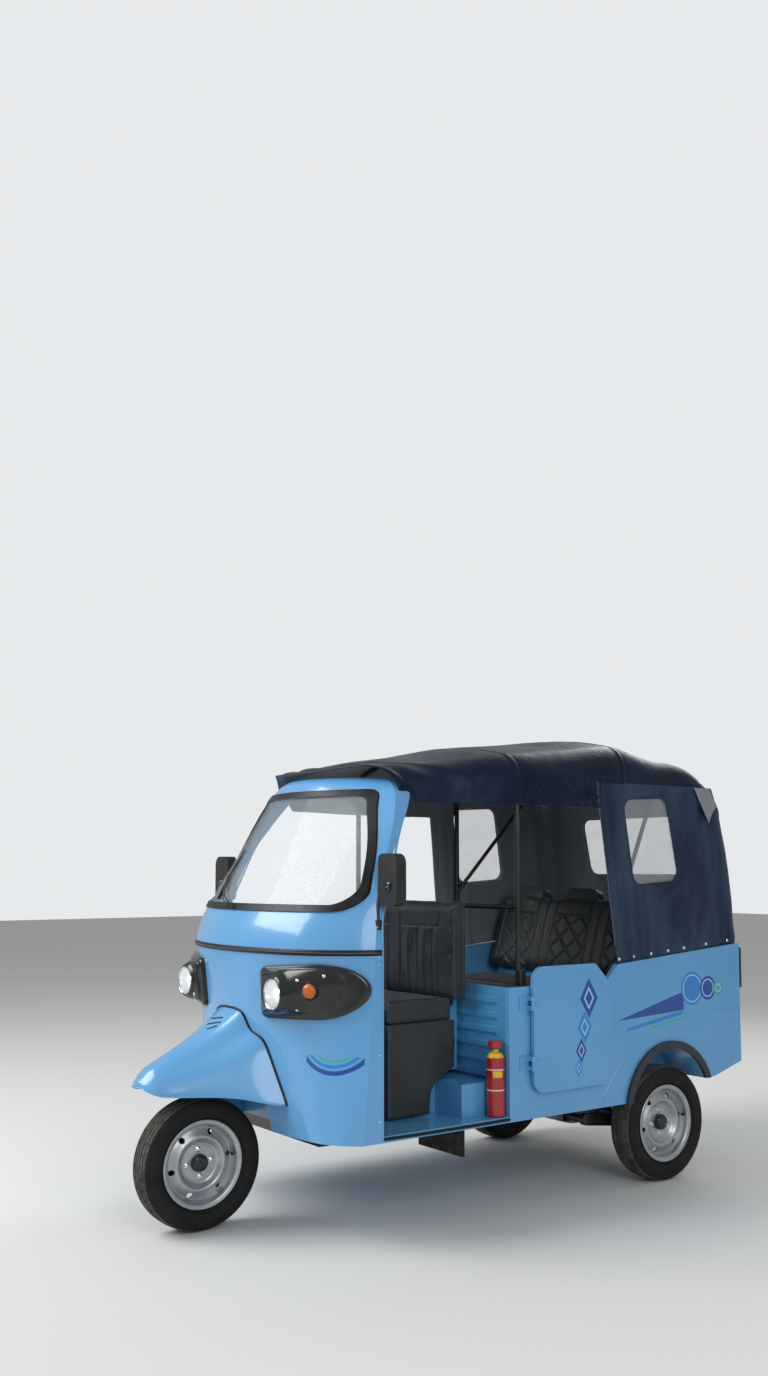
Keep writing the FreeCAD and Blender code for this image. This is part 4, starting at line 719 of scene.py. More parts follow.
def hoop_values(x):
    """Half width, crown and radii at a station, on smooth curves through the hoops."""
    stations = [row[0] for row in HOOPS]
    place = min(max(x, stations[0]), stations[-1] - 0.001)
    i = max(j for j in range(len(stations) - 1) if stations[j] <= place)
    share = (place - stations[i]) / (stations[i + 1] - stations[i])
    rows = [HOOPS[max(0, i - 1)], HOOPS[i], HOOPS[i + 1], HOOPS[min(len(HOOPS) - 1, i + 2)]]
    values = []
    for k in range(1, 5):
        span = rows[2][0] - rows[1][0]
        rise_a = (rows[2][k] - rows[0][k]) / (rows[2][0] - rows[0][0]) * span
        rise_b = (rows[3][k] - rows[1][k]) / (rows[3][0] - rows[1][0]) * span
        t = share
        values.append((2 * t ** 3 - 3 * t ** 2 + 1) * rows[1][k] + (t ** 3 - 2 * t ** 2 + t) * rise_a
                      + (3 * t ** 2 - 2 * t ** 3) * rows[2][k] + (t ** 3 - t ** 2) * rise_b)
    return values


def eave(x):
    """The height of the roof's lower edge."""
    if x < 424:
        return 1815.0
    if x < 1366:
        return 1703.0
    return 1703.0 + min(1.0, (x - 1366) / 56) * 72


def roof_point(x, t):
    """t runs from 0 at the crown over the corner at 1 and 2 to the lower edge at 3."""
    half, crown, corner, bend = hoop_values(x)
    rise = math.sqrt((bend - corner) ** 2 - (half - corner) ** 2)
    lean = math.atan2(half - corner, rise)
    if t <= 1:
        angle = lean * t
        return bend * math.sin(angle), crown - bend + bend * math.cos(angle)
    if t <= 2:
        angle = lean + (math.pi / 2 - lean) * (t - 1)
        return half - corner + corner * math.sin(angle), crown - bend + rise + corner * math.cos(angle)
    top = crown - bend + rise
    return half, top + (min(eave(x), top - 1) - top) * (t - 2)


def brow_edge(y):
    """How far forward the roof reaches over the header, at a distance from the middle."""
    return ROOF_FRONT - 58 * min(1.0, abs(y) / 244) ** 2 - 118 * max(0.0, (abs(y) - 244) / 190) ** 1.6


def roof_depth(point, normal):
    """Sag between the bows, welted seams over them, the rolled front and the creases of the valance."""
    x, y, z = point
    depth = 1.8 * wander(point, 190, 3.1) + 0.9 * wander(point, 70, 8.3)
    edges = (-236, 262, 906, 1420)
    for start, end in zip(edges, edges[1:]):
        if start < x < end:
            depth -= 9 * math.sin(math.pi * (x - start) / (end - start)) ** 2 * min(1, max(0, (z - 1760) / 120))
    for seam in BOWS:
        depth += 3.6 * bell(x - seam, 7) - 1.6 * bell(abs(x - seam) - 17, 6)
    # creases that gather at the first bow's foot and at the curtain's head
    if abs(y) > 540 and z < 1840:
        fade = min(1.0, (1840 - z) / 60)
        for foot, reach, height, seed in ((872, 130, 1712, 0.0), (500, 190, 1726, 2.0)):
            dx = x - foot
            dz = z - height
            turn = math.atan2(dz + 30, abs(dx) + 1)
            ray = (1 - 2 * abs(math.sin(turn * 11 + seed))) * bell(math.hypot(dx, dz) - 52, reach * 0.55)
            if x < 906:
                depth += 5.0 * ray * fade
        depth += 2.2 * math.sin(x / 46 + 1.3 * math.sin(z / 40)) * fade * (1 if x > 906 else 0.4)
    # a stitched hem along the lower edge
    low = eave(x)
    if z < low + 26 and abs(y) > 380:
        depth += 1.6
    # the roll above the header
    front = brow_edge(y)
    back = front - x
    if back < 190:
        wave = 0.62 + 0.38 * math.sin(y / 95 + 0.8) + 0.25 * math.sin(y / 41 + 2.0)
        depth += 20 * wave * bell(back - 58, 46) * min(1.0, max(0.15, (470 - abs(y)) / 160))
        depth -= 7 * bell(back - 150, 34)
        depth += 9 * bell(back, 22)
    return depth


def canopy_roof():
    """One sheet from the header to the tail, drawn over the bows."""
    across = 58
    rows = 190
    bpy.ops.object.select_all(action="DESELECT")
    bpy.ops.mesh.primitive_grid_add(x_subdivisions=rows, y_subdivisions=across * 2, size=2)
    piece = bpy.context.object
    for vertex in piece.data.vertices:
        share = (vertex.co.x + 1) / 2
        t = abs(vertex.co.y)
        t = t / 0.62 if t <= 0.62 else (1 + (t - 0.62) / 0.2 if t <= 0.82 else 2 + (t - 0.82) / 0.18)
        x = ROOF_REAR + (ROOF_FRONT - ROOF_REAR) * share
        y, z = roof_point(x, min(t, 3.0))
        if x > BROW_FROM:
            x = BROW_FROM + (x - BROW_FROM) / (ROOF_FRONT - BROW_FROM) * (brow_edge(y) - BROW_FROM)
            y, z = roof_point(x, min(t, 3.0))
        vertex.co = at(x, math.copysign(y, vertex.co.y) if abs(vertex.co.y) > 1e-6 else 0.0, z)
    piece.data.update()
    if piece.data.polygons[len(piece.data.polygons) // 2].normal.z < 0:
        piece.data.flip_normals()
    press(piece, roof_depth)
    modify(piece, "SOLIDIFY", thickness=CLOTH, offset=-1)
    bpy.ops.object.shade_smooth()
    finished(piece, "canopy_roof_cloth", "vehicle", ROOF_CLOTH)
    second_finish(piece, LINING_PAINTED_LIGHT, looks_in)
    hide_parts("canopy_roof")
    return piece


roof = canopy_roof()


# side and rear curtains

# the radius of the curtain's rear corners, and the studs' places along the side and across the back
CORNER = 46.0
STUDS = (336, 240, 124, 8, -104, -262, -420)
REAR_STUDS = (520, 380, 230, 78)
# the windows' corners: along the side or across the back, and the height
SIDE_WINDOW = [(221, 1354), (275, 1748), (-19, 1765), (-86, 1374)]
REAR_WINDOW = [(330, 1400), (330, 1700), (-330, 1700), (-330, 1400)]
# the hem's height along the side's front part and along the rear, and how far the studs sit above it
HEM_FRONT = 1004
HEM_REAR = 1070.0
STUD_RISE = 21


def curtain_half(z):
    """Half the curtain's width at a height."""
    return 637.5 - (z - HEM_FRONT) * 24 / 814


def curtain_front(z):
    """How far forward the curtain reaches at a height."""
    return 351 + (z - HEM_FRONT) * 89 / 814


def side_hem(x):
    """The height of the curtain's lower edge along the side."""
    return HEM_FRONT + 66 * min(1.0, (351 - x) / 851)


def curtain_rear(z):
    """Where the curtain's back lies at a height, bowed in a little."""
    share = (z - HEM_REAR) / 776
    return -503 + 127 * share - 150 * share * (1 - share)


def curtain_point(zone, share, up):
    """Half of the curtain: zone 0 is the side, 1 the rear corner, 2 the back as far as the middle."""
    foot = HEM_FRONT + 66 * share if zone == 0 else HEM_REAR
    head = 1877 - (568 * (1 - share)) ** 2 / 6000 if zone == 2 else 1822.0
    z = foot + (head - foot) * up
    front = curtain_front(z)
    rear = curtain_rear(z)
    half = curtain_half(z)
    if zone == 0:
        return front + (rear + CORNER - front) * share, half, z
    if zone == 1:
        angle = math.pi / 2 * share
        return rear + CORNER - CORNER * math.sin(angle), half - CORNER + CORNER * math.cos(angle), z
    return rear, (half - CORNER) * (1 - share), z


def rounded(corners, radius, steps=5):
    """A convex outline with its corners rounded."""
    points = []
    for i, corner in enumerate(corners):
        here = Vector(corner)
        before = (Vector(corners[i - 1]) - here).normalized()
        after = (Vector(corners[(i + 1) % len(corners)]) - here).normalized()
        half_angle = before.angle(after) / 2
        reach = radius / math.tan(half_angle)
        middle = here + (before + after).normalized() * (radius / math.sin(half_angle))
        first = here + before * reach - middle
        last = here + after * reach - middle
        for k in range(steps + 1):
            points.append(middle + first.lerp(last, k / steps).normalized() * radius)
    return points


def open_window(mesh, outline, axis, near):
    """Cuts a convex window into a sheet. axis is the level one along the sheet: 0 on the side, 1 on the back."""

    def spot(face):
        here = measured(face.calc_center_median())
        return Vector((here[axis], here.z))

    def standing(flat):
        return (flat.x, 0, flat.y) if axis == 0 else (0, flat.x, flat.y)

    edges = list(zip(outline, outline[1:] + outline[:1]))
    middle = sum(outline, Vector((0, 0))) / len(outline)
    reach = max((p - middle).length for p in outline) + 60
    faces = [f for f in mesh.faces if near(measured(f.calc_center_median())) and (spot(f) - middle).length < reach]
    for start, end in edges:
        line = end - start
        if line.length >= 0.5:
            normal = Vector((line.y, -line.x)).normalized()
            faces = slice_faces(mesh, faces, at(*standing(start)), Vector(standing(normal)))
    inner = []
    for face in faces:
        turns = [(end - start).cross(spot(face) - start) for start, end in edges]
        if max(turns) < 0 or min(turns) > 0:
            inner.append(face)
    bmesh.ops.delete(mesh, geom=inner, context="FACES")


def curtain_depth(point, normal):
    """Folds that hang from the eaves, the hem held by its studs, and the slack rear corner."""
    x, y, z = point
    side = abs(normal.y) > 0.7
    drop = min(1.0, max(0.0, (1816 - z) / 120))
    depth = 3.2 * wander(point, 260, 1.0) * drop + 1.3 * wander(point, 95, 4.0) + 0.5 * wander(point, 38, 9.0)
    if side:
        front = curtain_front(z) - x
        depth += 2.5 * bell(front, 16) - 5.5 * drop * bell(front - 66, 26) + 3.0 * drop * bell(front - 112, 24)
        fold = 196 - (1360 - z) * 0.035 - x
        below = min(1.0, max(0.0, (1372 - z) / 60))
        depth += below * (6.0 * bell(fold - 2, 11) - 6.5 * bell(fold - 30, 17) + 3.0 * bell(fold - 62, 20))
        depth += 3.6 * below * bell(x + 150 + (z - 1100) * 0.12, 34) * bell(z - 1180, 190)
        ruck = math.hypot(x + 55, (z - 1300) * 0.9)
        depth += 2.6 * bell(ruck, 80) * math.sin((x * 0.5 + z) / 17)
        tail = 1800 - (x + 200) * -0.30
        depth += 7.0 * bell(z - tail + 26, 26) * min(1.0, max(0.0, (-150 - x) / 90))
        depth += 5.0 * bell(x + 345 + (1800 - z) * 0.16, 30) * drop
        depth -= 4.0 * bell(x + 285 + (1800 - z) * 0.14, 26) * drop
    else:
        depth += 3.5 * math.sin(y / 52 + 0.8 * math.sin(z / 170)) * drop * bell(z - 1250, 420)
    rise = z - (side_hem(x) if side else HEM_REAR)
    if rise < 90:
        spots = STUDS if side else [s * k for s in REAR_STUDS for k in (1, -1)]
        place = x if side else y
        gap = min(abs(place - s) for s in spots)
        depth += 4.6 * bell(rise - 42, 30) * (1 - bell(gap, 24)) - 1.5 * bell(rise - 20, 16) * bell(gap, 15)
        depth += 1.4 * bell(rise - 58, 9) * math.sin(place / 13 + 2 * math.sin(place / 60))
    depth += 2.6 * bell(rise - 90, 70) * wander(point, 46, 5.0)
    return max(depth, -6.0)


def corner_fold(side):
    """Cloth turned back on itself at a rear upper corner, its pale inside outwards; the pale finish on every face of
    it is partly a painted highlight.
    """
    corners = [Vector(c) for c in ((-212, 1819), (-322, 1819), (-372, 1738), (-300, 1652))]
    count = 14
    mesh = bmesh.new()
    grid = []
    for i in range(count + 1):
        row = []
        for j in range(count + 1):
            a = i / count
            b = j / count
            x, z = corners[0].lerp(corners[1], a).lerp(corners[3].lerp(corners[2], a), b)
            curl = 15 + 6 * (1 - a) ** 2 * b + 2 * math.sin(5 * a + 2 * b) * b
            row.append(mesh.verts.new(at(x + 10 * b * (1 - b), side * (curtain_half(z) + curl), z)))
        grid.append(row)
    piece = sheet_of(weave(mesh, grid), "corner_fold", 1, side)
    return modify(piece, "SOLIDIFY", thickness=CLOTH, offset=-1)


def curtain():
    """The hanging sheet that runs round the rear from one door to the other."""
    zones = ((0, 84), (1, 9), (2, 56))
    columns = [(zone, i / count) for zone, count in zones for i in range(int(zone > 0), count + 1)]
    tall = 68
    mesh = bmesh.new()
    weave(mesh, [[mesh.verts.new(at(*curtain_point(zone, share, k / tall))) for k in range(tall + 1)]
                 for zone, share in columns])
    open_window(mesh, rounded(SIDE_WINDOW, 50), 0, lambda here: here.x > -440)
    bmesh.ops.mirror(mesh, geom=mesh.verts[:] + mesh.edges[:] + mesh.faces[:], axis="Y", merge_dist=0.0004)
    open_window(mesh, rounded(REAR_WINDOW, 50), 1, lambda here: abs(here.y) < 560)
    bmesh.ops.remove_doubles(mesh, verts=mesh.verts[:], dist=0.0003)
    piece = sheet_of(mesh, "curtain", 1)
    press(piece, curtain_depth)
    modify(piece, "SOLIDIFY", thickness=CLOTH, offset=-1)
    faces_before_highlit_folds = len(piece.data.polygons)
    piece = joined([piece, corner_fold(1), corner_fold(-1)])
    bpy.ops.object.shade_smooth()
    finished(piece, "canopy_curtain", "vehicle", CURTAIN_CLOTH)
    # every face of the turned-back corners takes the pale lining finish, partly a painted highlight
    second_finish(piece, LINING_PAINTED_LIGHT, lambda face: face.index >= faces_before_highlit_folds or looks_in(face))
    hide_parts("canopy_sides", "canopy_back")
    return piece


hanging = curtain()


def film(name, outline, place):
    """A clear sheet behind a window."""
    grown = rounded(outline, 44, 6)
    count = len(grown)
    mesh = bmesh.new()
    middle = sum(grown, Vector((0, 0))) / count
    hub = mesh.verts.new(place(middle))
    rings = [[mesh.verts.new(place(middle.lerp(middle + (p - middle) * 1.045, step / 8))) for p in grown]
             for step in range(1, 9)]
    for i in range(count):
        j = (i + 1) % count
        mesh.faces.new((hub, rings[0][i], rings[0][j]))
        for inner, outer in zip(rings, rings[1:]):
            mesh.faces.new((inner[i], outer[i], outer[j], inner[j]))
    pane = modify(linked(mesh, name), "SOLIDIFY", thickness=0.0008, offset=0)
    bpy.ops.object.shade_smooth()
    return fixed(pane, name, "clear_glass", FILM)


def side_pane(side):
    return lambda p: at(p.x, side * (curtain_half(p.y) - 5.5 + 1.2 * math.sin(p.x / 80) * math.sin(p.y / 90)), p.y)


def rear_pane(p):
    return at(curtain_rear(p.y) + 5.5 + 1.2 * math.sin(p.x / 90), p.x, p.y)


def side_welt(side):
    return lambda p: at(p.x, side * (curtain_half(p.y) + 0.4), p.y)


def rear_welt(p):
    return at(curtain_rear(p.y) - 0.4, p.x, p.y)


film("window_film_left", SIDE_WINDOW, side_pane(1))
film("window_film_right", SIDE_WINDOW, side_pane(-1))
film("window_film_rear", REAR_WINDOW, rear_pane)
welts = [tube([side_welt(side)(p) for p in rounded(SIDE_WINDOW, 52, 6)], 3.4, 3, True, 1) for side in (1, -1)]
welts.append(tube([rear_welt(p) for p in rounded(REAR_WINDOW, 52, 6)], 3.4, 3, True, 1))
fixed(welts, "window_welts", "curtain_cloth", CURTAIN_CLOTH)


def press_studs():
    """Chrome caps that hold the curtain's hem to the tub."""
    cap = [(0, 3.4), (3.2, 3.2), (5.4, 2.2), (6.6, 0.6), (7.6, 0.4), (8.2, -0.4), (8.0, -2.5), (0, -2.5)]
    made = []
    for x in STUDS:
        z = side_hem(x) + STUD_RISE
        for side in (1, -1):
            made.append(turned(at(x, side * (curtain_half(z) + 1.4), z), (0, side, 0), cap, 20))
    z = HEM_REAR + STUD_RISE
    for y in REAR_STUDS:
        for side in (1, -1):
            made.append(turned(at(curtain_rear(z) - 1.4, side * y, z), (-1, 0, 0), cap, 20))
    return fixed(made, "curtain_studs", "wheel_silver", CHROME)


press_studs()


# seats

# how hard the cloth simulation blows a pad up, how much smaller it starts (mm) and how many frames it runs
PAD_PRESSURE = 4.0
PAD_SHRINK = 5.0
PAD_FRAMES = 20


def pad(node, cap, voxel):
    """A stuffed pad: the solid, a little smaller, swollen as cloth by at most cap mm."""
    source = solids[node]
    piece = copied(source)
    piece.parent = None
    for key in list(piece.keys()):
        del piece[key]
    piece.hide_render = False
    piece.hide_viewport = False
    alone(piece)
    bpy.ops.object.mode_set(mode="EDIT")
    bpy.ops.mesh.select_all(action="SELECT")
    bpy.ops.mesh.remove_doubles(threshold=0.0001)
    evened()
    low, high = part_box(node)
    middle = (low + high) / 2
    size = high - low
    share = Vector([(s - PAD_SHRINK * 0.002) / s for s in size])
    for vertex in piece.data.vertices:
        vertex.co = middle + Vector([d * s for d, s in zip(vertex.co - middle, share)])
    piece.data.remesh_voxel_size = voxel
    bpy.ops.object.voxel_remesh()
    rest = np.array([v.co for v in piece.data.vertices])
    cloth = piece.modifiers.new("cloth", "CLOTH")
    cloth.settings.use_pressure = True
    cloth.settings.uniform_pressure_force = PAD_PRESSURE
    cloth.settings.effector_weights.gravity = 0
    cloth.settings.quality = 4
    scene = bpy.context.scene
    for step in range(PAD_FRAMES):
        scene.frame_set(step + 1)
    shape = piece.evaluated_get(bpy.context.evaluated_depsgraph_get())
    swollen = np.array([v.co for v in shape.data.vertices])
    piece.modifiers.remove(cloth)
    move = swollen - rest
    length = np.linalg.norm(move, axis=1, keepdims=True)
    move *= np.minimum(1.0, cap / 1000 / np.maximum(length, 1e-9))
    for vertex, place in zip(piece.data.vertices, rest + move):
        vertex.co = place
    scene.frame_set(1)
    modify(piece, "SMOOTH", factor=0.5, iterations=3)
    modify(piece, "SUBSURF", levels=1, render_levels=1)
    bpy.ops.object.shade_smooth()
    piece.data.materials.clear()
    return piece


def crease(piece, facing, plane, seams, depth=5.0, width=5.0):
    """Draws sewn seams into the faces that look one way. plane turns a point into the seams' plane."""
    facing = Vector(facing)

    def sewn(point, normal):
        if normal.dot(facing) < 0.55:
            return 0.0
        a, b = plane(point)
        near = min(segment_distance(a, b, start, end) for start, end in seams)
        return -depth * bell(near, width) + 0.8 * bell(near - width * 2.6, width)

    return press(piece, sewn)


def soften(piece, amount, scale, seed):
    return press(piece, lambda point, normal: amount * wander(point, scale, seed))


def from_above(point):
    return point.x, point.y


def from_ahead(point):
    return point.y, point.z


def from_side(point):
    return point.x, point.z


def driver_seat():
    """Cushion and backrest of the driver's bench, with a fluted panel in the backrest."""
    base = pad("driver_cushion", 9, 0.0075)
    corners = ((1150, -395), (1440, -395), (1440, 395), (1150, 395))
    crease(base, (0, 0, 1), from_above, list(zip(corners, corners[1:] + corners[:1])), 4, 5)
    crease(base, (1, 0, 0), from_ahead, [((-430, 866), (430, 866))], 2.5, 4)
    for side in (1, -1):
        crease(base, (0, side, 0), from_side, [((1100, 868), (1500, 868))], 2.5, 4)
    soften(base, 2.2, 120, 2.0)
    finished(base, "driver_cushion_cover", "vehicle", VINYL)
    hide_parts("driver_cushion")

    back = pad("driver_backrest", 9, 0.0075)
    seams = []
    top, panel_top, foot = 1300, 1181, 862
    for side in (1, -1):
        inner = 46 * side
        outer = 318 * side
        seams += [((inner, panel_top), (outer, panel_top)), ((inner, panel_top), (inner, foot)),
                  ((outer, panel_top), (outer, foot)), ((inner, panel_top), (inner, top)),
                  ((outer + 26 * side, top), (outer, panel_top))]
        seams += [((y * side, panel_top - 3), (y * side, foot)) for y in (112, 170, 226, 276)]
    crease(back, (1, 0, 0), from_ahead, seams, 5.0, 4.5)
    for side in (1, -1):
        crease(back, (0, side, 0), from_side, [((1062, 860), (1062, 1296))], 2.5, 4)

    def slack(point, normal):
        inside = 1.0 if 46 < abs(point.y) < 318 and point.z < panel_top - 3 and normal.x > 0.6 else 0.0
        return 2.0 * wander(point, 130, 5.0) + inside * 2.2 * math.sin(point.y / 17 + 2.4 * math.sin(point.z / 75))

    press(back, slack)
    finished(back, "driver_backrest_cover", "vehicle", VINYL)
    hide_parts("driver_backrest")


PASSENGER_LEAN = math.radians(18)


def back_plane(point):
    """Across and up the leaning face of the passengers' backrest."""
    return point.y, (point.z - 912) / math.cos(PASSENGER_LEAN)


def passenger_seat():
    """The passengers' bench: a flat-topped cushion and a backrest with three quilted places."""
    base = pad("passenger_cushion", 9, 0.009)
    lines = [((60, y), (440, y)) for y in (-380, -190, 0, 190, 380)] + [((440, -560), (440, 560))]
    crease(base, (0, 0, 1), from_above, lines, 4.5, 6)
    crease(base, (1, 0, 0), from_ahead, [((-575, 862), (575, 862))], 2.5, 4)
    soften(base, 2.0, 150, 7.0)
    finished(base, "passenger_cushion_cover", "vehicle", VINYL)
    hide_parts("passenger_cushion")

    back = pad("passenger_backrest", 10, 0.009)
    seams = []
    # each quilted place: half its width, its height and the distance between its seams
    wide, high, pitch = 126, 300, 118
    for middle in (-380, 0, 380):
        seams.append(((middle - wide, high), (middle + wide, high)))
        for edge in (middle - wide, middle + wide):
            seams += [((edge, high), (edge, 0)), ((edge, high), (middle + (edge - middle) * 0.9, 430))]
        for k in range(-3, 4):
            for way in (1, -1):
                start = middle + (k + 0.5) * pitch
                seams += clipped((start, high), (start - way * high, 0), middle - wide, middle + wide)
    seams += [((-190, -10), (-190, 410)), ((190, -10), (190, 410))]
    crease(back, (0.95, 0, 0.3), back_plane, seams, 6.0, 5.0)

    def puffed(point, normal):
        front = 1.0 if normal.x > 0.6 else 0.0
        return 1.6 * wander(point, 140, 6.0) + front * 0.6 * wander(point, 45, 3.0)

    press(back, puffed)
    finished(back, "passenger_backrest_cover", "vehicle", VINYL)
    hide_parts("passenger_backrest")


def clipped(start, end, low, high):
    """The part of a line whose first coordinate lies between two bounds."""
    if abs(end[0] - start[0]) < 1e-6:
        return []
    shares = sorted(((low - start[0]) / (end[0] - start[0]), (high - start[0]) / (end[0] - start[0])))
    first = max(0.0, shares[0])
    last = min(1.0, shares[1])
    if last - first < 0.05:
        return []
    return [tuple((start[0] + (end[0] - start[0]) * s, start[1] + (end[1] - start[1]) * s) for s in (first, last))]


def skirt_depth(point, normal):
    """Soft folds that fall from the cushion, and a turned hem."""
    x, y, z = point
    drop = min(1.0, max(0.0, (780 - z) / 160))
    place = x if abs(normal.y) > 0.7 else y
    depth = drop * (3.4 * math.sin(place / 37 + 1.2 * math.sin(z / 130)) + 2.0 * wander(point, 90, 2.0))
    depth += 4.5 * bell(z - 735 + (1478 - x) * 0.10, 26) * (1 if abs(normal.y) > 0.7 else 0.3)
    return max(-3.5, depth) + (1.2 if z < 446 else 0.0)


def seat_skirt():
    """The vinyl apron that hangs round the front of the driver's seat box."""
    rear, front, wide, corner = 1122, 1448, 400, 30
    arc = [(corner * math.sin(math.pi / 2 * k / 6), corner * math.cos(math.pi / 2 * k / 6)) for k in range(1, 7)]
    points = [(rear + (front - rear) * share, wide + corner) for share in np.linspace(0, 1, 42)]
    points += [(front + a, wide + b) for a, b in arc]
    points += [(front + corner, wide - 2 * wide * share) for share in np.linspace(0, 1, 90)[1:]]
    points += [(front + b, -wide - a) for a, b in arc]
    points += [(front - (front - rear) * share, -wide - corner) for share in np.linspace(0, 1, 42)[1:]]
    low, high, tall = 421.0, 795.0, 44
    mesh = bmesh.new()
    weave(mesh, [[mesh.verts.new(at(x, y, low + (high - low) * k / tall)) for k in range(tall + 1)]
                 for x, y in points])
    # the cut-out over the step box
    cut = [(1110, 606), (1154, 584), (1196, 566), (1226, 546), (1246, 520), (1256, 486), (1260, 410)]
    for start, end in zip(cut, cut[1:]):
        line = Vector((end[0] - start[0], 0, end[1] - start[1])).normalized()
        near = [f for f in mesh.faces if f.calc_center_median().x < at(1270, 0, 0).x]
        slice_faces(mesh, near, at(start[0], 0, start[1]), Vector((line.z, 0, -line.x)))
    inner = []
    for face in mesh.faces:
        here = measured(face.calc_center_median())
        if abs(here.y) > 428 and here.x < 1262 and here.z < np.interp(here.x, *zip(*cut)):
            inner.append(face)
    bmesh.ops.delete(mesh, geom=inner, context="FACES")
    piece = sheet_of(mesh, "seat_skirt_sheet", 0)
    press(piece, skirt_depth)
    modify(piece, "SOLIDIFY", thickness=0.002, offset=-1)
    bpy.ops.object.shade_smooth()
    finished(piece, "seat_skirt_sheet", "vehicle", VINYL)
    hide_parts("seat_skirt")
    return piece


driver_seat()
passenger_seat()
skirt_sheet = seat_skirt()


# tyres and wheels

WHEELS = (("front", 2100, 0, 1, "front_wheel_body"), ("rear_left", 0, 543, 1, "rear_left_wheel_body"),
          ("rear_right", 0, -543, -1, "rear_right_wheel_body"))
AXLE_HEIGHT = 260
HUB = at(0, 0, AXLE_HEIGHT)
SIDEWAYS = (0, 1, 0)
# metres from the axle: where the dusty tread begins, and where the drum's near-black finish ends, dark iron that is
# partly painted shade behind the disc's holes
TREAD_FROM = 0.2505
DRUM_WITHIN = 0.099
# half of the tyre's section, each point a radius and a distance out from the wheel's middle plane
TREAD = [(176.5, 45.0), (180.5, 50.5), (187, 54.5), (189, 58.6), (192, 59.8), (196, 60.0), (205, 62.6), (207, 64.0),
         (212, 64.9), (222, 65.2), (232, 63.4), (238, 60.8), (240, 61.2), (246, 57.8), (252, 52.6), (256, 47.5),
         (257.6, 41.5), (252.5, 40.5), (252.5, 36.0), (258.4, 35.0), (259.0, 19.0), (253.0, 18.0), (253.0, 13.2),
         (259.5, 12.2), (259.8, 2.6), (254.5, 2.0)]
# the wheel's section in the same way, first the rim and then the disc
RIM = [(172.5, 54), (174, 52.5), (173, 50.5), (168, 49.6), (161, 48.6), (157, 46), (156, 42), (156, 29), (153, 24),
       (148, 17), (147, 13), (147, -13), (148, -17), (156, -29), (156, -44), (161, -49), (174, -54), (169, -54),
       (160, -49), (151, -44), (151, -31), (142, -18), (142, 6)]
DISC = [(128, 13.5), (114, 23), (103, 28), (96, 26), (84, 14), (77, 8), (74, 6), (74, 2), (98, -3), (98, -46),
        (14.3, -46), (14.3, 2), (0, 2), (0, 12), (69, 12), (70.5, 13.4), (73.5, 13.4), (75, 12.2), (78.5, 13),
        (82, 15.4), (87, 20.6), (91.5, 26), (95.5, 30.4), (99.5, 33.2), (103, 34), (107, 33.4), (111, 31.4),
        (118, 27), (126, 22), (134, 17.2), (139, 15), (141.4, 15.6), (143, 18), (147, 24), (150, 28.4), (151, 32),
        (151, 41), (152.4, 45.6), (156, 50), (160, 52), (165, 53), (170, 54.6), (172.5, 54)]


def tread_tyre():
    """A ribbed tyre round the rear axle's middle, with sipes across its shoulders and ribs."""
    profile = TREAD + [(r, -h) for r, h in reversed(TREAD)] + [(172.5, -45.0), (172.5, 45.0), TREAD[0]]
    steps = 144
    piece = turned(HUB, SIDEWAYS, profile, steps, (1, 0, 0))
    data = bmesh.new()
    data.from_mesh(piece.data)
    picked = []
    for face in data.faces:
        here = face.calc_center_median() - HUB
        radius = math.hypot(here.x, here.z) * 1000
        place = abs(here.y) * 1000
        turn = int(round(math.degrees(math.atan2(here.z, here.x)) / (360 / steps) - 0.5)) % steps
        shoulder = 48 < place < 56 and radius > 249 and turn % 3 == 0
        rib = 21 < place < 34 and radius > 256 and turn % 4 == 1
        if shoulder or rib:
            picked.append(face)
    bmesh.ops.inset_individual(data, faces=picked, thickness=0.0014, depth=0.0)
    for face in picked:
        for vertex in face.verts:
            out = vertex.co - HUB
            out.y = 0
            vertex.co -= out.normalized() * 0.0028
    data.to_mesh(piece.data)
    data.free()
    return smooth(piece, 32)


def round_hub(radius, degrees, out=0):
    """A point at a radius and a turn round the hub, so many millimetres out along the axle."""
    angle = math.radians(degrees)
    return HUB + Vector((radius * math.cos(angle), out, radius * math.sin(angle))) / 1000


def wheel_disc():
    """A pressed wheel round the rear axle's middle: rim, dished disc with six holes, and drum."""
    piece = turned(HUB, SIDEWAYS, RIM + DISC, 96, (1, 0, 0))
    cutter = joined([turned(round_hub(126, 50 + 60 * k), SIDEWAYS, [(0, -10), (12, -10), (12, 50), (0, 50)], 24,
                            (1, 0, 0)) for k in range(6)])
    modify(piece, "BOOLEAN", object=cutter, operation="DIFFERENCE", solver="EXACT")
    bpy.data.objects.remove(cutter)
    return smooth(piece, 28)


def back_plate():
    """The plate behind the brake drum, near-black so that it is partly painted shade behind the disc's holes."""
    section = [(97, -45.5), (126, -45.5), (129, -43), (127, -40.5), (97, -40.5), (97, -45.5)]
    return turned(HUB, SIDEWAYS, section, 64)


def wheel_nuts():
    """Four nuts with collars, each on its stud."""
    collar = [(0, 4), (9.5, 3.4), (11.5, 1.6), (11.8, -1), (0, -1)]
    nut = [(0, 9.5), (6.2, 9.5), (8.4, 8), (8.8, 3), (0, 3)]
    stud = [(0, 13), (3.0, 12.6), (3.8, 11.6), (3.8, 9), (0, 9)]
    return joined([turned(round_hub(54, 85 + 90 * k, 12), SIDEWAYS, section, steps)
                   for k in range(4) for section, steps in ((collar, 24), (nut, 6), (stud, 16))])


def valve():
    """A rubber valve stem that leans out of the rim."""
    stem = [(0, 24), (2.6, 24), (3.2, 22), (3.2, 14), (4.6, 12), (5.2, 0), (0, 0)]
    return turned(at(-141, 26, 280), (0.25, 1, -0.04), stem, 16)


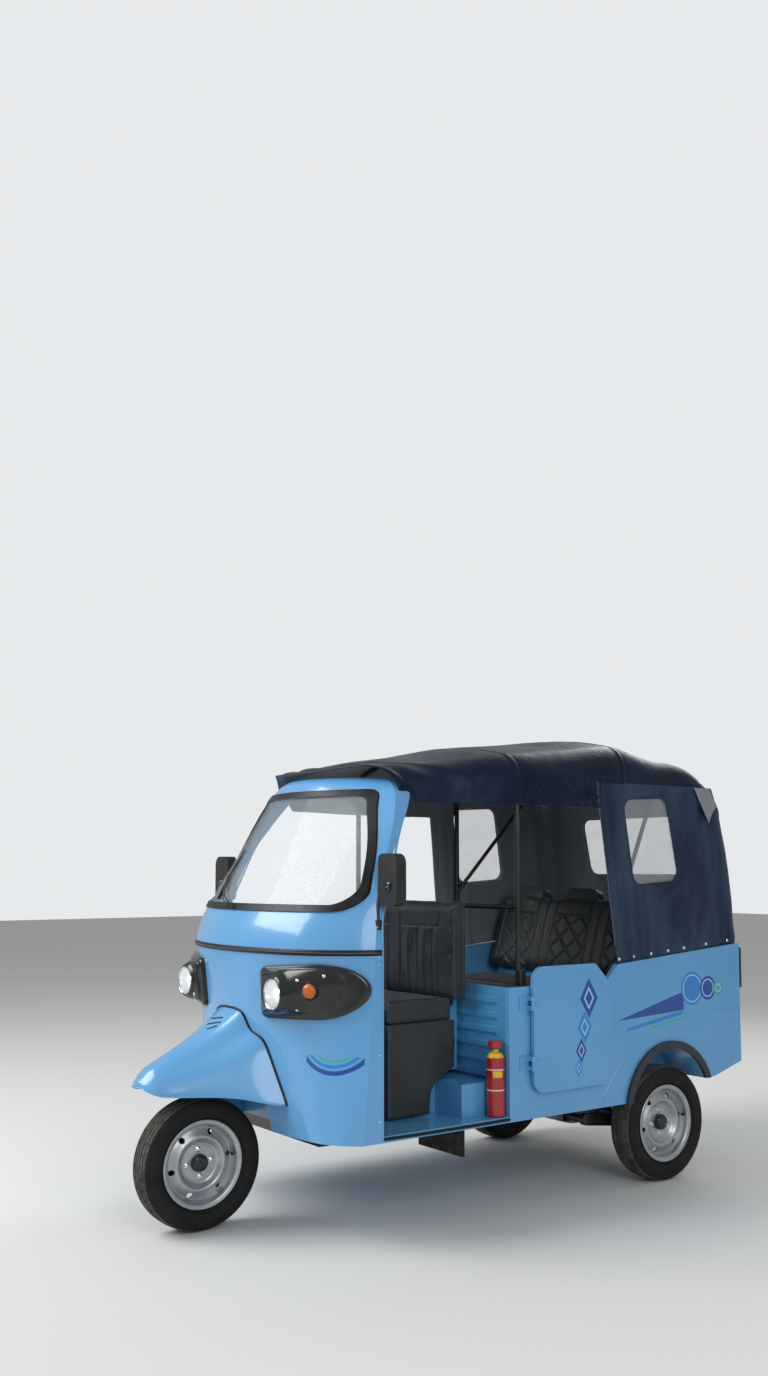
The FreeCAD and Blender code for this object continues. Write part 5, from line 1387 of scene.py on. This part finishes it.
def grease_cap():
    """A black cap with a raised ring over the wheel's middle."""
    cap = [(0, 25), (7, 24.6), (9, 22.6), (20, 22.4), (22, 24.4), (27, 24), (32, 20.5), (35.2, 13), (35.6, 0.5),
           (0, 0.5)]
    return turned(round_hub(0, 0, 12), SIDEWAYS, cap, 40)


def carried(piece, x, y, side):
    """A copy of a wheel's piece on another wheel, its face turned to that side."""
    made = copied(piece)
    made.location = (x / 1000, y / 1000, 0)
    if side < 0:
        # a half turn about the frame's origin, brought back over the axle
        made.rotation_euler.z = math.pi
        made.location.x += 2 * AXLE_X
    return settle(made)


def shod_wheels():
    """Every wheel gets its tyre, valve, grease cap, disc, nuts and back plate."""
    parts = {"tyre_tread": (tread_tyre(), "tyre", TYRE), "valve": (valve(), "tyre", SEAL),
             "grease_cap": (grease_cap(), "wheel_silver", POD), "wheel_disc": (wheel_disc(), "wheel_silver", SILVER),
             "wheel_nuts": (wheel_nuts(), "wheel_silver", CHROME),
             "back_plate": (back_plate(), "wheel_silver", DRUM_DARK_AS_SHADE)}
    for name, x, y, side, body in WHEELS:
        middle = at(x, y, AXLE_HEIGHT)

        def radius(face):
            return math.hypot(face.center.x - middle.x, face.center.z - middle.z)

        for part, (piece, slot, finish) in parts.items():
            made = finished(carried(piece, x, y, side), name + "_" + part, body, finish)
            if part == "tyre_tread":
                second_finish(made, TYRE_DUSTY, lambda face: radius(face) > TREAD_FROM)
                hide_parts(name + "_tyre")
            if part == "wheel_disc":
                # the drum's inner faces turn near-black: dark iron, partly painted shade seen through the holes
                second_finish(made, DRUM_DARK_AS_SHADE, lambda face: radius(face) < DRUM_WITHIN
                              and (face.center.y - middle.y) * side < 0.004)
                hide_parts(name + "_wheel")
    for piece, _, _ in parts.values():
        bpy.data.objects.remove(piece)


shod_wheels()


# front fender

# a place well ahead of the cab, to look back at it from
FAR_AHEAD = 2600
# the foremost row's place
NOSE = 2352
# ahead of the rear axle, then ten points from the side's lower edge up to the ridge, each (half width, height)
FENDER = [
    (1880, [(335, 505), (332, 524), (300, 602), (262, 710), (236, 778), (154, 806), (138, 848),
            (120, 896), (62, 907), (0, 908)]),
    (1962, [(300, 520), (297, 536), (270, 606), (240, 690), (214, 748), (148, 772), (130, 808),
            (104, 852), (54, 866), (0, 868)]),
    (2070, [(226, 548), (223, 564), (211, 606), (194, 650), (172, 688), (132, 714), (108, 740),
            (82, 766), (42, 779), (0, 782)]),
    (2200, [(160, 548), (158, 562), (154, 588), (145, 612), (130, 638), (104, 664), (84, 684),
            (60, 700), (30, 709), (0, 712)]),
    (2300, [(118, 553), (117, 564), (112, 582), (103, 600), (90, 620), (72, 638), (57, 650),
            (40, 659), (20, 664), (0, 666)]),
    (2342, [(96, 561), (95, 569), (91, 581), (84, 594), (73, 608), (60, 621), (47, 630),
            (32, 637), (16, 640), (0, 642)]),
    (NOSE, [(72, 571), (71, 576), (66, 584), (60, 592), (51, 601), (41, 608), (31, 613),
            (21, 617), (10, 619), (0, 620)]),
]
# rows that close the nose: lowest point, rise to the ridge, half width, and how far ahead its side and ridge lie
TIP = ((576, 32, 60, 2359, 2367), (580, 16, 50, 2363, 2375), (582, 0, 46, 2362, 2376))
# the three vents beside the fender's ridge, drawn as dark strips of painted shade: the ends of each, to the left and
# above the ground
VENTS = [((16, 783), (51, 797)), ((-26, 797), (50, 811)), ((-39, 817), (33, 826))]


def fender_line(number, x):
    """Half width and height of one lengthwise line of the fender at a station."""
    stations = [row[0] for row in FENDER]
    return [float(np.interp(x, stations, [row[1][number][k] for row in FENDER])) for k in (0, 1)]


def both_halves(half):
    """A row from the left edge to the middle, carried on as its mirror image to the right edge."""
    return half + [Vector((p.x, -p.y, p.z)) for p in reversed(half[:-1])]


def fender_rows():
    """Rows across the fender, the first one laid against the apron."""
    lines = range(len(FENDER[0][1]))
    seats = []
    for number in lines:
        x = FENDER[0][0]
        for _ in range(6):
            y, z = fender_line(number, x)
            spot, _ = on_surface("cab_apron", at(FAR_AHEAD, y, z), (-1, 0, 0))
            x = measured(spot).x + 2
        seats.append(x)
    rows = []
    for share in (0.0, 0.04, 0.16, 0.34, 0.54, 0.74, 0.88, 0.955, 1.0):
        places = [seat + (NOSE - seat) * share for seat in seats]
        rows.append(both_halves([at(x, *fender_line(number, x)) for number, x in zip(lines, places)]))
    for low, high, wide, ahead, reach in TIP:
        turns = [math.pi / 2 * number / lines[-1] for number in lines]
        rows.append(both_halves([at(reach + (ahead - reach) * math.cos(turn), wide * math.cos(turn),
                                    low + high * math.sin(turn)) for turn in turns]))
    return rows


def fender():
    """The hollow fender with its gasket, rolled edge and three vents, these drawn as dark strips of painted shade."""
    rows = fender_rows()
    piece = lofted(rows)
    modify(piece, "SUBSURF", levels=2, render_levels=2)
    top = max(piece.data.polygons, key=lambda p: p.center.z)
    if top.normal.x < 0:
        piece.data.flip_normals()
    modify(piece, "SOLIDIFY", thickness=0.004, offset=-1)
    fixed(piece, "fender_shell", "body_paint", PAINT_PLAIN)
    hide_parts("front_fender")
    gasket = tube([p + Vector((0.001, 0, 0)) for p in rows[0]], 4.6, 3)
    fixed(gasket, "fender_gasket", "seal_rubber", SEAL)
    lip = tube([row[0] for row in rows[1:-1]] + rows[-1] + [row[-1] for row in reversed(rows[1:-1])], 3.0, 3)
    fixed(lip, "fender_rolled_edge", "body_paint", PAINT_PLAIN)
    found = BVHTree.FromObject(piece, bpy.context.evaluated_depsgraph_get())
    vent_shades = []
    for start, end in VENTS:
        route = []
        for share in (0.0, 0.25, 0.5, 0.75, 1.0):
            place = Vector(start).lerp(Vector(end), share)
            route.append(found.ray_cast(at(FAR_AHEAD, *place), (-1, 0, 0))[0] - Vector((0.0012, 0, 0)))
        # a black rubber strip on the shell, painted shade in place of the dark inside of an opening
        vent_shades.append(tube(route, 3.9, 3))
    fixed(vent_shades, "fender_vent_shades", "seal_rubber", SEAL)


fender()


# lamp pods

POD_TURN = math.radians(37)
POD_FACE = Vector((math.cos(POD_TURN), math.sin(POD_TURN), 0))
POD_ACROSS = Vector((-math.sin(POD_TURN), math.cos(POD_TURN), 0))
# the turn lamp's place, ahead and to the left
POD_MIDDLE = (1886, 490)
# the headlamp's middle: sideways from the turn lamp, then left of the middle, ahead and above the ground
LAMP_ACROSS = -157
LAMP_SIDE = 369
LAMP_FRONT = 1987
LAMP_HEIGHT = 946
# sideways from the turn lamp and height, as seen square on
POD_EDGE = [(-240, 842), (74, 850), (183, 888), (254, 967), (178, 1046), (38, 1064), (-240, 1046)]
POD_STEP = [(-230, 855), (-88, 861), (0, 875), (82, 906), (136, 958), (150, 1000), (122, 1034), (76, 1050),
            (-230, 1040)]


def round_angles(count):
    """Evenly spread angles of a whole turn."""
    return [2 * math.pi * k / count for k in range(count)]


def soft_outline(corners, radius, angles):
    """How far a rounded outline lies from the headlamp's middle, as a ray at each angle meets it last."""
    outline = rounded(corners, radius, 6)
    middle = Vector((LAMP_ACROSS, LAMP_HEIGHT))
    reaches = []
    for angle in angles:
        ray = Vector((math.cos(angle), math.sin(angle)))
        best = 0.0
        for start, end in zip(outline, outline[1:] + outline[:1]):
            run = end - start
            cross = ray.x * run.y - ray.y * run.x
            if abs(cross) < 1e-9:
                continue
            gap = start - middle
            share = (gap.x * ray.y - gap.y * ray.x) / cross
            reach = (gap.x * run.y - gap.y * run.x) / cross
            if -0.001 <= share <= 1.001 and reach > best:
                best = reach
        reaches.append(best)
    return reaches


def before_pod(across, height):
    """A point well ahead of the pod, as seen square on."""
    return at(*POD_MIDDLE, height) + POD_ACROSS * (across / 1000) + POD_FACE * 0.4


def pod_point(reach, angle, lift):
    """A point raised from the apron, at a reach and an angle from the headlamp's middle."""
    start = before_pod(LAMP_ACROSS + reach * math.cos(angle), LAMP_HEIGHT + reach * math.sin(angle))
    return on_surface("cab_apron", start, -POD_FACE)[0] + POD_FACE * (lift / 1000)


def ring_point(radius, x, angle):
    """A point on a ring about the headlamp's axis."""
    return at(x, LAMP_SIDE + radius * math.cos(angle), LAMP_HEIGHT + radius * math.sin(angle))


def pod_shell():
    """The left pod: a flange on the apron, a step, and a blister that runs up to the headlamp."""
    angles = round_angles(56)
    edge = soft_outline(POD_EDGE, 30, angles)
    step = soft_outline(POD_STEP, 22, angles)
    rows = []
    for inset, lift in ((0, -2), (0, 15), (3, 21), (9, 24)):
        rows.append([pod_point(r - inset, a, lift) for r, a in zip(edge, angles)])
    rows.append([pod_point(min(r, e - 13), a, 24) for r, e, a in zip(step, edge, angles)])
    foot = [min(r - 5, e - 17) for r, e in zip(step, edge)]
    rows.append([pod_point(r, a, 32) for r, a in zip(foot, angles)])
    for share in (0.25, 0.5, 0.75):
        row = []
        for r, a in zip(foot, angles):
            flat = pod_point(r + (80 - r) * share, a, 34)
            swell = POD_FACE * 0.007 * math.sin(math.pi * share)
            row.append(flat.lerp(ring_point(78, 1966, a), share ** 1.7) + swell)
        rows.append(row)
    for radius, x in ((76, 1968), (68, 1979), (62, 1982), (59, 1980), (58, 1968)):
        rows.append([ring_point(radius, x, a) for a in angles])
    piece = lofted(rows, True)
    modify(piece, "SUBSURF", levels=1, render_levels=1)
    return piece


def lamp_parts(shell):
    """The headlamp's bowl, ring, bulb and glass, the turn lamp, and the pod's screws."""
    front = at(LAMP_FRONT, LAMP_SIDE, LAMP_HEIGHT)
    sections = {
        "ring": ([(54, -10), (56, -5), (58.5, -3.6), (60, -6), (60, -18), (54, -18), (54, -10)], 56, CHROME),
        "bowl": ([(55, -10), (50, -26), (36, -46), (18, -58), (0, -60), (0, -62), (40, -48), (54, -27), (57, -12),
                  (55, -10)], 48, CHROME),
        "bulb": ([(0, -18), (14, -20), (22, -26), (22, -40), (10, -52), (0, -52)], 32, LAMP_LIT.material),
        "glass": ([(0, 0), (20, -0.6), (40, -2.6), (53, -6.5), (56, -8.5), (55, -11), (40, -6.5), (0, -4)], 56,
                  LAMP_GLASS),
    }
    headlamp = {"headlamp_" + name: (turned(front, (1, 0, 0), section, steps), "lamp_lens", finish)
                for name, (section, steps, finish) in sections.items()}
    found = BVHTree.FromObject(shell, bpy.context.evaluated_depsgraph_get())

    def on_pod(across, height):
        spot, normal, _, _ = found.ray_cast(before_pod(across, height), -POD_FACE)
        return spot, normal if normal.dot(POD_FACE) > 0 else -normal

    spot, normal = on_pod(4, 962)
    spot -= normal * 0.003
    normal = (normal + Vector((0.55, 0, 0))).normalized()
    amber = turned(spot, normal, [(0, 19), (10, 18), (20, 14), (27, 8), (30, 1), (30, -8), (0, -8)], 48)
    collar = turned(spot, normal, [(30.3, 3.6), (33, 4), (36, 1.4), (37, -8), (30.3, -8), (30.3, 3.6)], 48)
    head = [(0, 1.0), (1.8, 1.2), (2.2, 2.6), (4.6, 2.2), (6.4, 0.6), (6.6, -3), (0, -3)]
    screws = [turned(*on_pod(across, height), head, 18)
              for across, height in ((-45, 1003), (-53, 886), (-196, 890), (60, 1020))]
    # a short dark rubber block on the pod: painted shade for the inside of a slit
    slit, _ = on_pod(205, 973)
    slit_shade = block(slit - Vector((0.002, 0.020, 0.0018)), slit + Vector((0.002, 0.020, 0.0018)), 0.8,
                   (0, 0, POD_TURN + 0.35))
    angles = round_angles(72)
    route = []
    for reach, angle in zip(soft_outline(POD_STEP, 22, angles), angles):
        reach -= 7
        across = LAMP_ACROSS + reach * math.cos(angle)
        if across > -150:
            route.append(on_pod(across, LAMP_HEIGHT + reach * math.sin(angle))[0])
    half = next(i for i in range(1, len(route)) if (route[i] - route[i - 1]).length > 0.06)
    contour = tube(route[half:] + route[:half], 2.6, 3)
    return {"pod_contour": (contour, "pod_plastic", POD), **headlamp,
            "turn_lamp": (amber, "lamp_lens", LAMP_AMBER), "turn_lamp_collar": (collar, "pod_plastic", SEAL),
            "pod_screws": (joined(screws), "wheel_silver", CHROME), "pod_slit": (slit_shade, "pod_plastic", SEAL)}


def lamp_pods():
    """The left pod with its lamps, and their mirror images on the right."""
    shell = pod_shell()
    parts = {"pod_shell": (shell, "pod_plastic", POD)}
    parts.update(lamp_parts(shell))
    for name, (piece, slot, finish) in parts.items():
        other = mirrored(piece)
        fixed(piece, name + "_left", slot, finish)
        fixed(other, name + "_right", slot, finish)
    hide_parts("headlamp_pods")
    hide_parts("front_lamps")


lamp_pods()


# seals and trim

def round_cab(node, z, lift, rear):
    """Points round the cab's outside at one height, from the right door edge to the left one."""
    half = []
    for angle in [math.pi / 2 * k / 60 for k in range(61)]:
        out = Vector((math.cos(angle), math.sin(angle), 0))
        spot, _ = on_surface(node, at(1500, 0, z) + out * 1.1, -out, lift)
        if spot is not None and measured(spot).x > rear:
            half.append(spot)
    other = [Vector((p.x, -p.y, p.z)) for p in reversed(half[1:])]
    return other + half


# the height of the rubber strip round the cab, and of the joint between apron and cowl
STRIP_HEIGHT = 1106
JOINT_HEIGHT = 1117


def waist_strip():
    """A rubber strip round the cab between apron and cowl, with a raised line along its middle."""
    outer = round_cab("cab_apron", STRIP_HEIGHT, 1.5, 1652)
    strip = tube(outer, 6.5)
    middle = sum(v.co.z for v in strip.data.vertices) / len(strip.data.vertices)
    for vertex in strip.data.vertices:
        vertex.co.z = middle + (vertex.co.z - middle) * 1.75
    fixed(strip, "waist_strip", "seal_rubber", SEAL)
    centre = at(1400, 0, STRIP_HEIGHT)
    line = tube([p + (p - centre).normalized() * 0.0052 for p in outer], 2.2, 3)
    fixed(line, "waist_strip_line", "seal_rubber", SEAL_LINE)


def screw_heads(name, places, radius=5.5):
    """Domed screw heads, each at a place and facing a direction."""
    head = [(0, 0.8), (radius * 0.3, 0.9), (radius * 0.38, 2.4), (radius * 0.8, 2.0), (radius, 0.2), (radius, -2),
            (0, -2)]
    made = [turned(spot, facing, head, 16) for spot, facing in places]
    return fixed(made, name, "wheel_silver", CHROME)


def cab_edges():
    """Rolled beads down the cab's rear edges, and the screws beside them."""
    edge = [(1646, 638, 402), (1646, 638, 700), (1646, 638, 1000), (1645, 636, 1110), (1641, 628, 1190),
            (1636, 620, 1240), (1600, 606, 1330), (1560, 590, 1430), (1521, 563, 1540), (1470, 530, 1620),
            (1420, 482, 1710), (1380, 444, 1770)]
    posts = [tube([at(x, y * side, z) for x, y, z in edge], 5.0) for side in (1, -1)]
    fixed(posts, "cab_edge_beads", "body_paint", PAINT_PLAIN)
    places = []
    for side in (1, -1):
        for x, z in ((1664, 1092), (1664, 1062), (1662, 720), (1662, 470), (1660, 1132), (1662, 1206)):
            node = "cab_apron" if z < JOINT_HEIGHT else "cab_cowl"
            places.append(on_surface(node, at(x, 900 * side, z), (0, -side, 0), 0.2))
    screw_heads("cab_screws", places)


def sills():
    """Black rubber along the edges of the cab floor, and the bracket at each front post's foot."""
    route = ((1640, 641, 402), (1500, 641.5, 400), (1200, 641.5, 400), (1004, 641, 401))
    strips = [tube([at(x, y * side, z) for x, y, z in route], 6.5) for side in (1, -1)]
    fixed(strips, "sill_strips", "seal_rubber", SEAL)
    feet = [block(at(882, side * 603 - 13, 937), at(916, side * 603 + 13, 1008), 4) for side in (1, -1)]
    fixed(feet, "post_feet", "chassis_paint", FRAME_BLACK)
    plates = [block(at(470, side * 641 - 4, 634), at(484, side * 641 + 5, 706), 2) for side in (1, -1)]
    fixed(plates, "latch_plates", "wheel_silver", SILVER)
    places = []
    for side in (1, -1):
        for x, y, z in ((477, 646, 646), (477, 646, 694), (337, 640.5, 419)):
            places.append((at(x, side * y, z), Vector((0, side, 0))))
    screw_heads("latch_screws", places, 4)


def wiper():
    """A parallel-arm wiper parked at the screen's side."""
    pivot = at(1940, -24, 1276)
    hub = turned(pivot, (0.8, 0, 0.6), [(0, 16), (7, 15), (10, 11), (11, 2), (14, 0), (14, -8), (0, -8)], 24)
    upper = at(1846, -232, 1398)
    arm = tube([pivot + Vector((0.012, 0, 0.008)), at(1944, -70, 1300), at(1914, -160, 1332), upper], 4.2, 3)
    second = tube([pivot + Vector((0.006, -0.03, 0)), at(1938, -100, 1288), at(1904, -185, 1326), upper], 2.6, 3)
    rail = tube([at(1908, -214, 1302), at(1872, -226, 1356), upper, at(1806, -238, 1452), at(1760, -240, 1512)],
                5.5, 3)
    blade = tube([at(1900, -212, 1300), at(1866, -222, 1352), at(1832, -228, 1402), at(1798, -234, 1450),
                  at(1752, -238, 1512)], 3.0, 3)
    fixed([hub, arm, second, rail, blade], "wiper", "pod_plastic", POD)


def mirror_parts():
    """The mirrors' glass, frames and front bosses, and the stays that hold them."""
    faces = []
    bosses = []
    stays = []
    for side in (1, -1):
        low = at(1597.5, min(618 * side, 718 * side), 1298)
        high = at(1602, max(618 * side, 718 * side), 1476)
        faces.append(block(low, high, 1.6))
        bosses.append(turned(at(1646, side * 674, 1360), (1, 0, 0),
                             [(0, 3), (6, 3.2), (9, 7.5), (15, 7), (19, 3.4), (20, -5), (0, -5)], 32))
        stays.append(tube([at(1624, side * 612, 1336), at(1640, side * 600, 1322), at(1652, side * 612, 1262),
                           at(1656, side * 622, 1214)], 7.5))
        stays.append(block(at(1640, side * 622 - 8, 1188), at(1668, side * 622 + 6, 1232), 4))
    fixed(faces, "mirror_faces", "wheel_silver", MIRROR)
    fixed(bosses, "mirror_bosses", "pod_plastic", POD)
    fixed(stays, "mirror_stays", "pod_plastic", GRAINED)
    screw_heads("mirror_screws", [(at(1649.5, side * 674, 1360), Vector((1, 0, 0))) for side in (1, -1)], 4.5)


def tail_lenses():
    """Red, amber and clear fields on the rear face of each tail lamp."""
    fields = (("red", 944, 1044, LAMP_RED), ("amber", 900, 940, LAMP_AMBER), ("clear", 858, 896, LAMP_GLASS))
    for name, low, high, finish in fields:
        made = [block(at(-527.5, side * 610 - 19, low), at(-520, side * 610 + 19, high), 3) for side in (1, -1)]
        fixed(made, "tail_lens_" + name, "tail_red", finish)


def cab_lamp():
    """The small round lamp under the header."""
    lamp = turned(at(1438, 300, 1764), (0, 0, -1), [(0, 9), (14, 8), (24, 3), (27, -6), (0, -6)], 32)
    fixed(lamp, "cab_lamp", "lamp_lens", LAMP_WHITE)


waist_strip()
cab_edges()
sills()
wiper()
mirror_parts()
tail_lenses()
cab_lamp()


# floor, light and camera

def aimed(name, data, place, look):
    """A lamp or a camera at a place, looking along a direction."""
    holder = bpy.data.objects.new(name, data)
    bpy.context.collection.objects.link(holder)
    holder.location = place
    holder.rotation_euler = look.to_track_quat("-Z", "Y").to_euler()
    return holder


def sky():
    """A pale surround, brighter to the eye and through glass than it lights."""
    world = bpy.data.worlds.new("studio")
    bpy.context.scene.world = world
    world.use_nodes = True
    tree = world.node_tree

    def sums(operation, *inputs):
        made = tree.nodes.new("ShaderNodeMath")
        made.operation = operation
        for socket, value in zip(made.inputs, inputs):
            if isinstance(value, float):
                socket.default_value = value
            else:
                tree.links.new(value, socket)
        return made.outputs[0]

    path = tree.nodes.new("ShaderNodeLightPath").outputs
    seen = sums("MAXIMUM", path["Is Camera Ray"], path["Is Transmission Ray"])
    back = tree.nodes["Background"].inputs
    tree.links.new(sums("MULTIPLY_ADD", seen, 0.42, 0.44), back["Strength"])
    back["Color"].default_value = (0.93, 0.95, 0.97, 1)


def studio():
    """A pale floor and three soft lamps."""
    bpy.ops.object.select_all(action="DESELECT")
    bpy.ops.mesh.primitive_plane_add(size=60, location=(0, 0, 0))
    ground = bpy.context.object
    ground.name = "studio_floor"
    finish = Finish("studio_floor", roughness=0.9, specular_ior_level=0.1)
    speck = finish.patches(0.3, 0.7, 40, 5, 0.6)
    finish.feed(base_color=finish.mix(speck * 0.2, colour("DCDCDA"), colour("D2D2D0")))
    ground.data.materials.append(finish.material)
    sky()
    for name, place, power, size in (("key", (5.2, -2.4, 5.6), 420, 4.4), ("side", (2.0, 6.5, 3.6), 130, 3.4),
                                     ("rear", (-5.0, -1.5, 4.5), 90, 3.0)):
        light = bpy.data.lights.new(name, "AREA")
        light.energy = power
        light.size = size
        aimed(name, light, place, Vector((0, 0, 0.9)) - Vector(place))


def camera():
    """The photograph's view: a little above the screen's middle, from ahead on the left."""
    yaw = math.radians(54.04)
    pitch = math.radians(4.96)
    look = Vector((-math.cos(yaw) * math.cos(pitch), -math.sin(yaw) * math.cos(pitch), math.sin(pitch)))
    data = bpy.data.cameras.new("camera")
    data.sensor_width = 36
    data.lens = 31.64
    data.shift_y = 0.0564
    bpy.context.scene.camera = aimed("camera", data, (3.4805, 4.452, 1.422), look)


studio()
camera()
bpy.context.scene.view_settings.view_transform = "Standard"
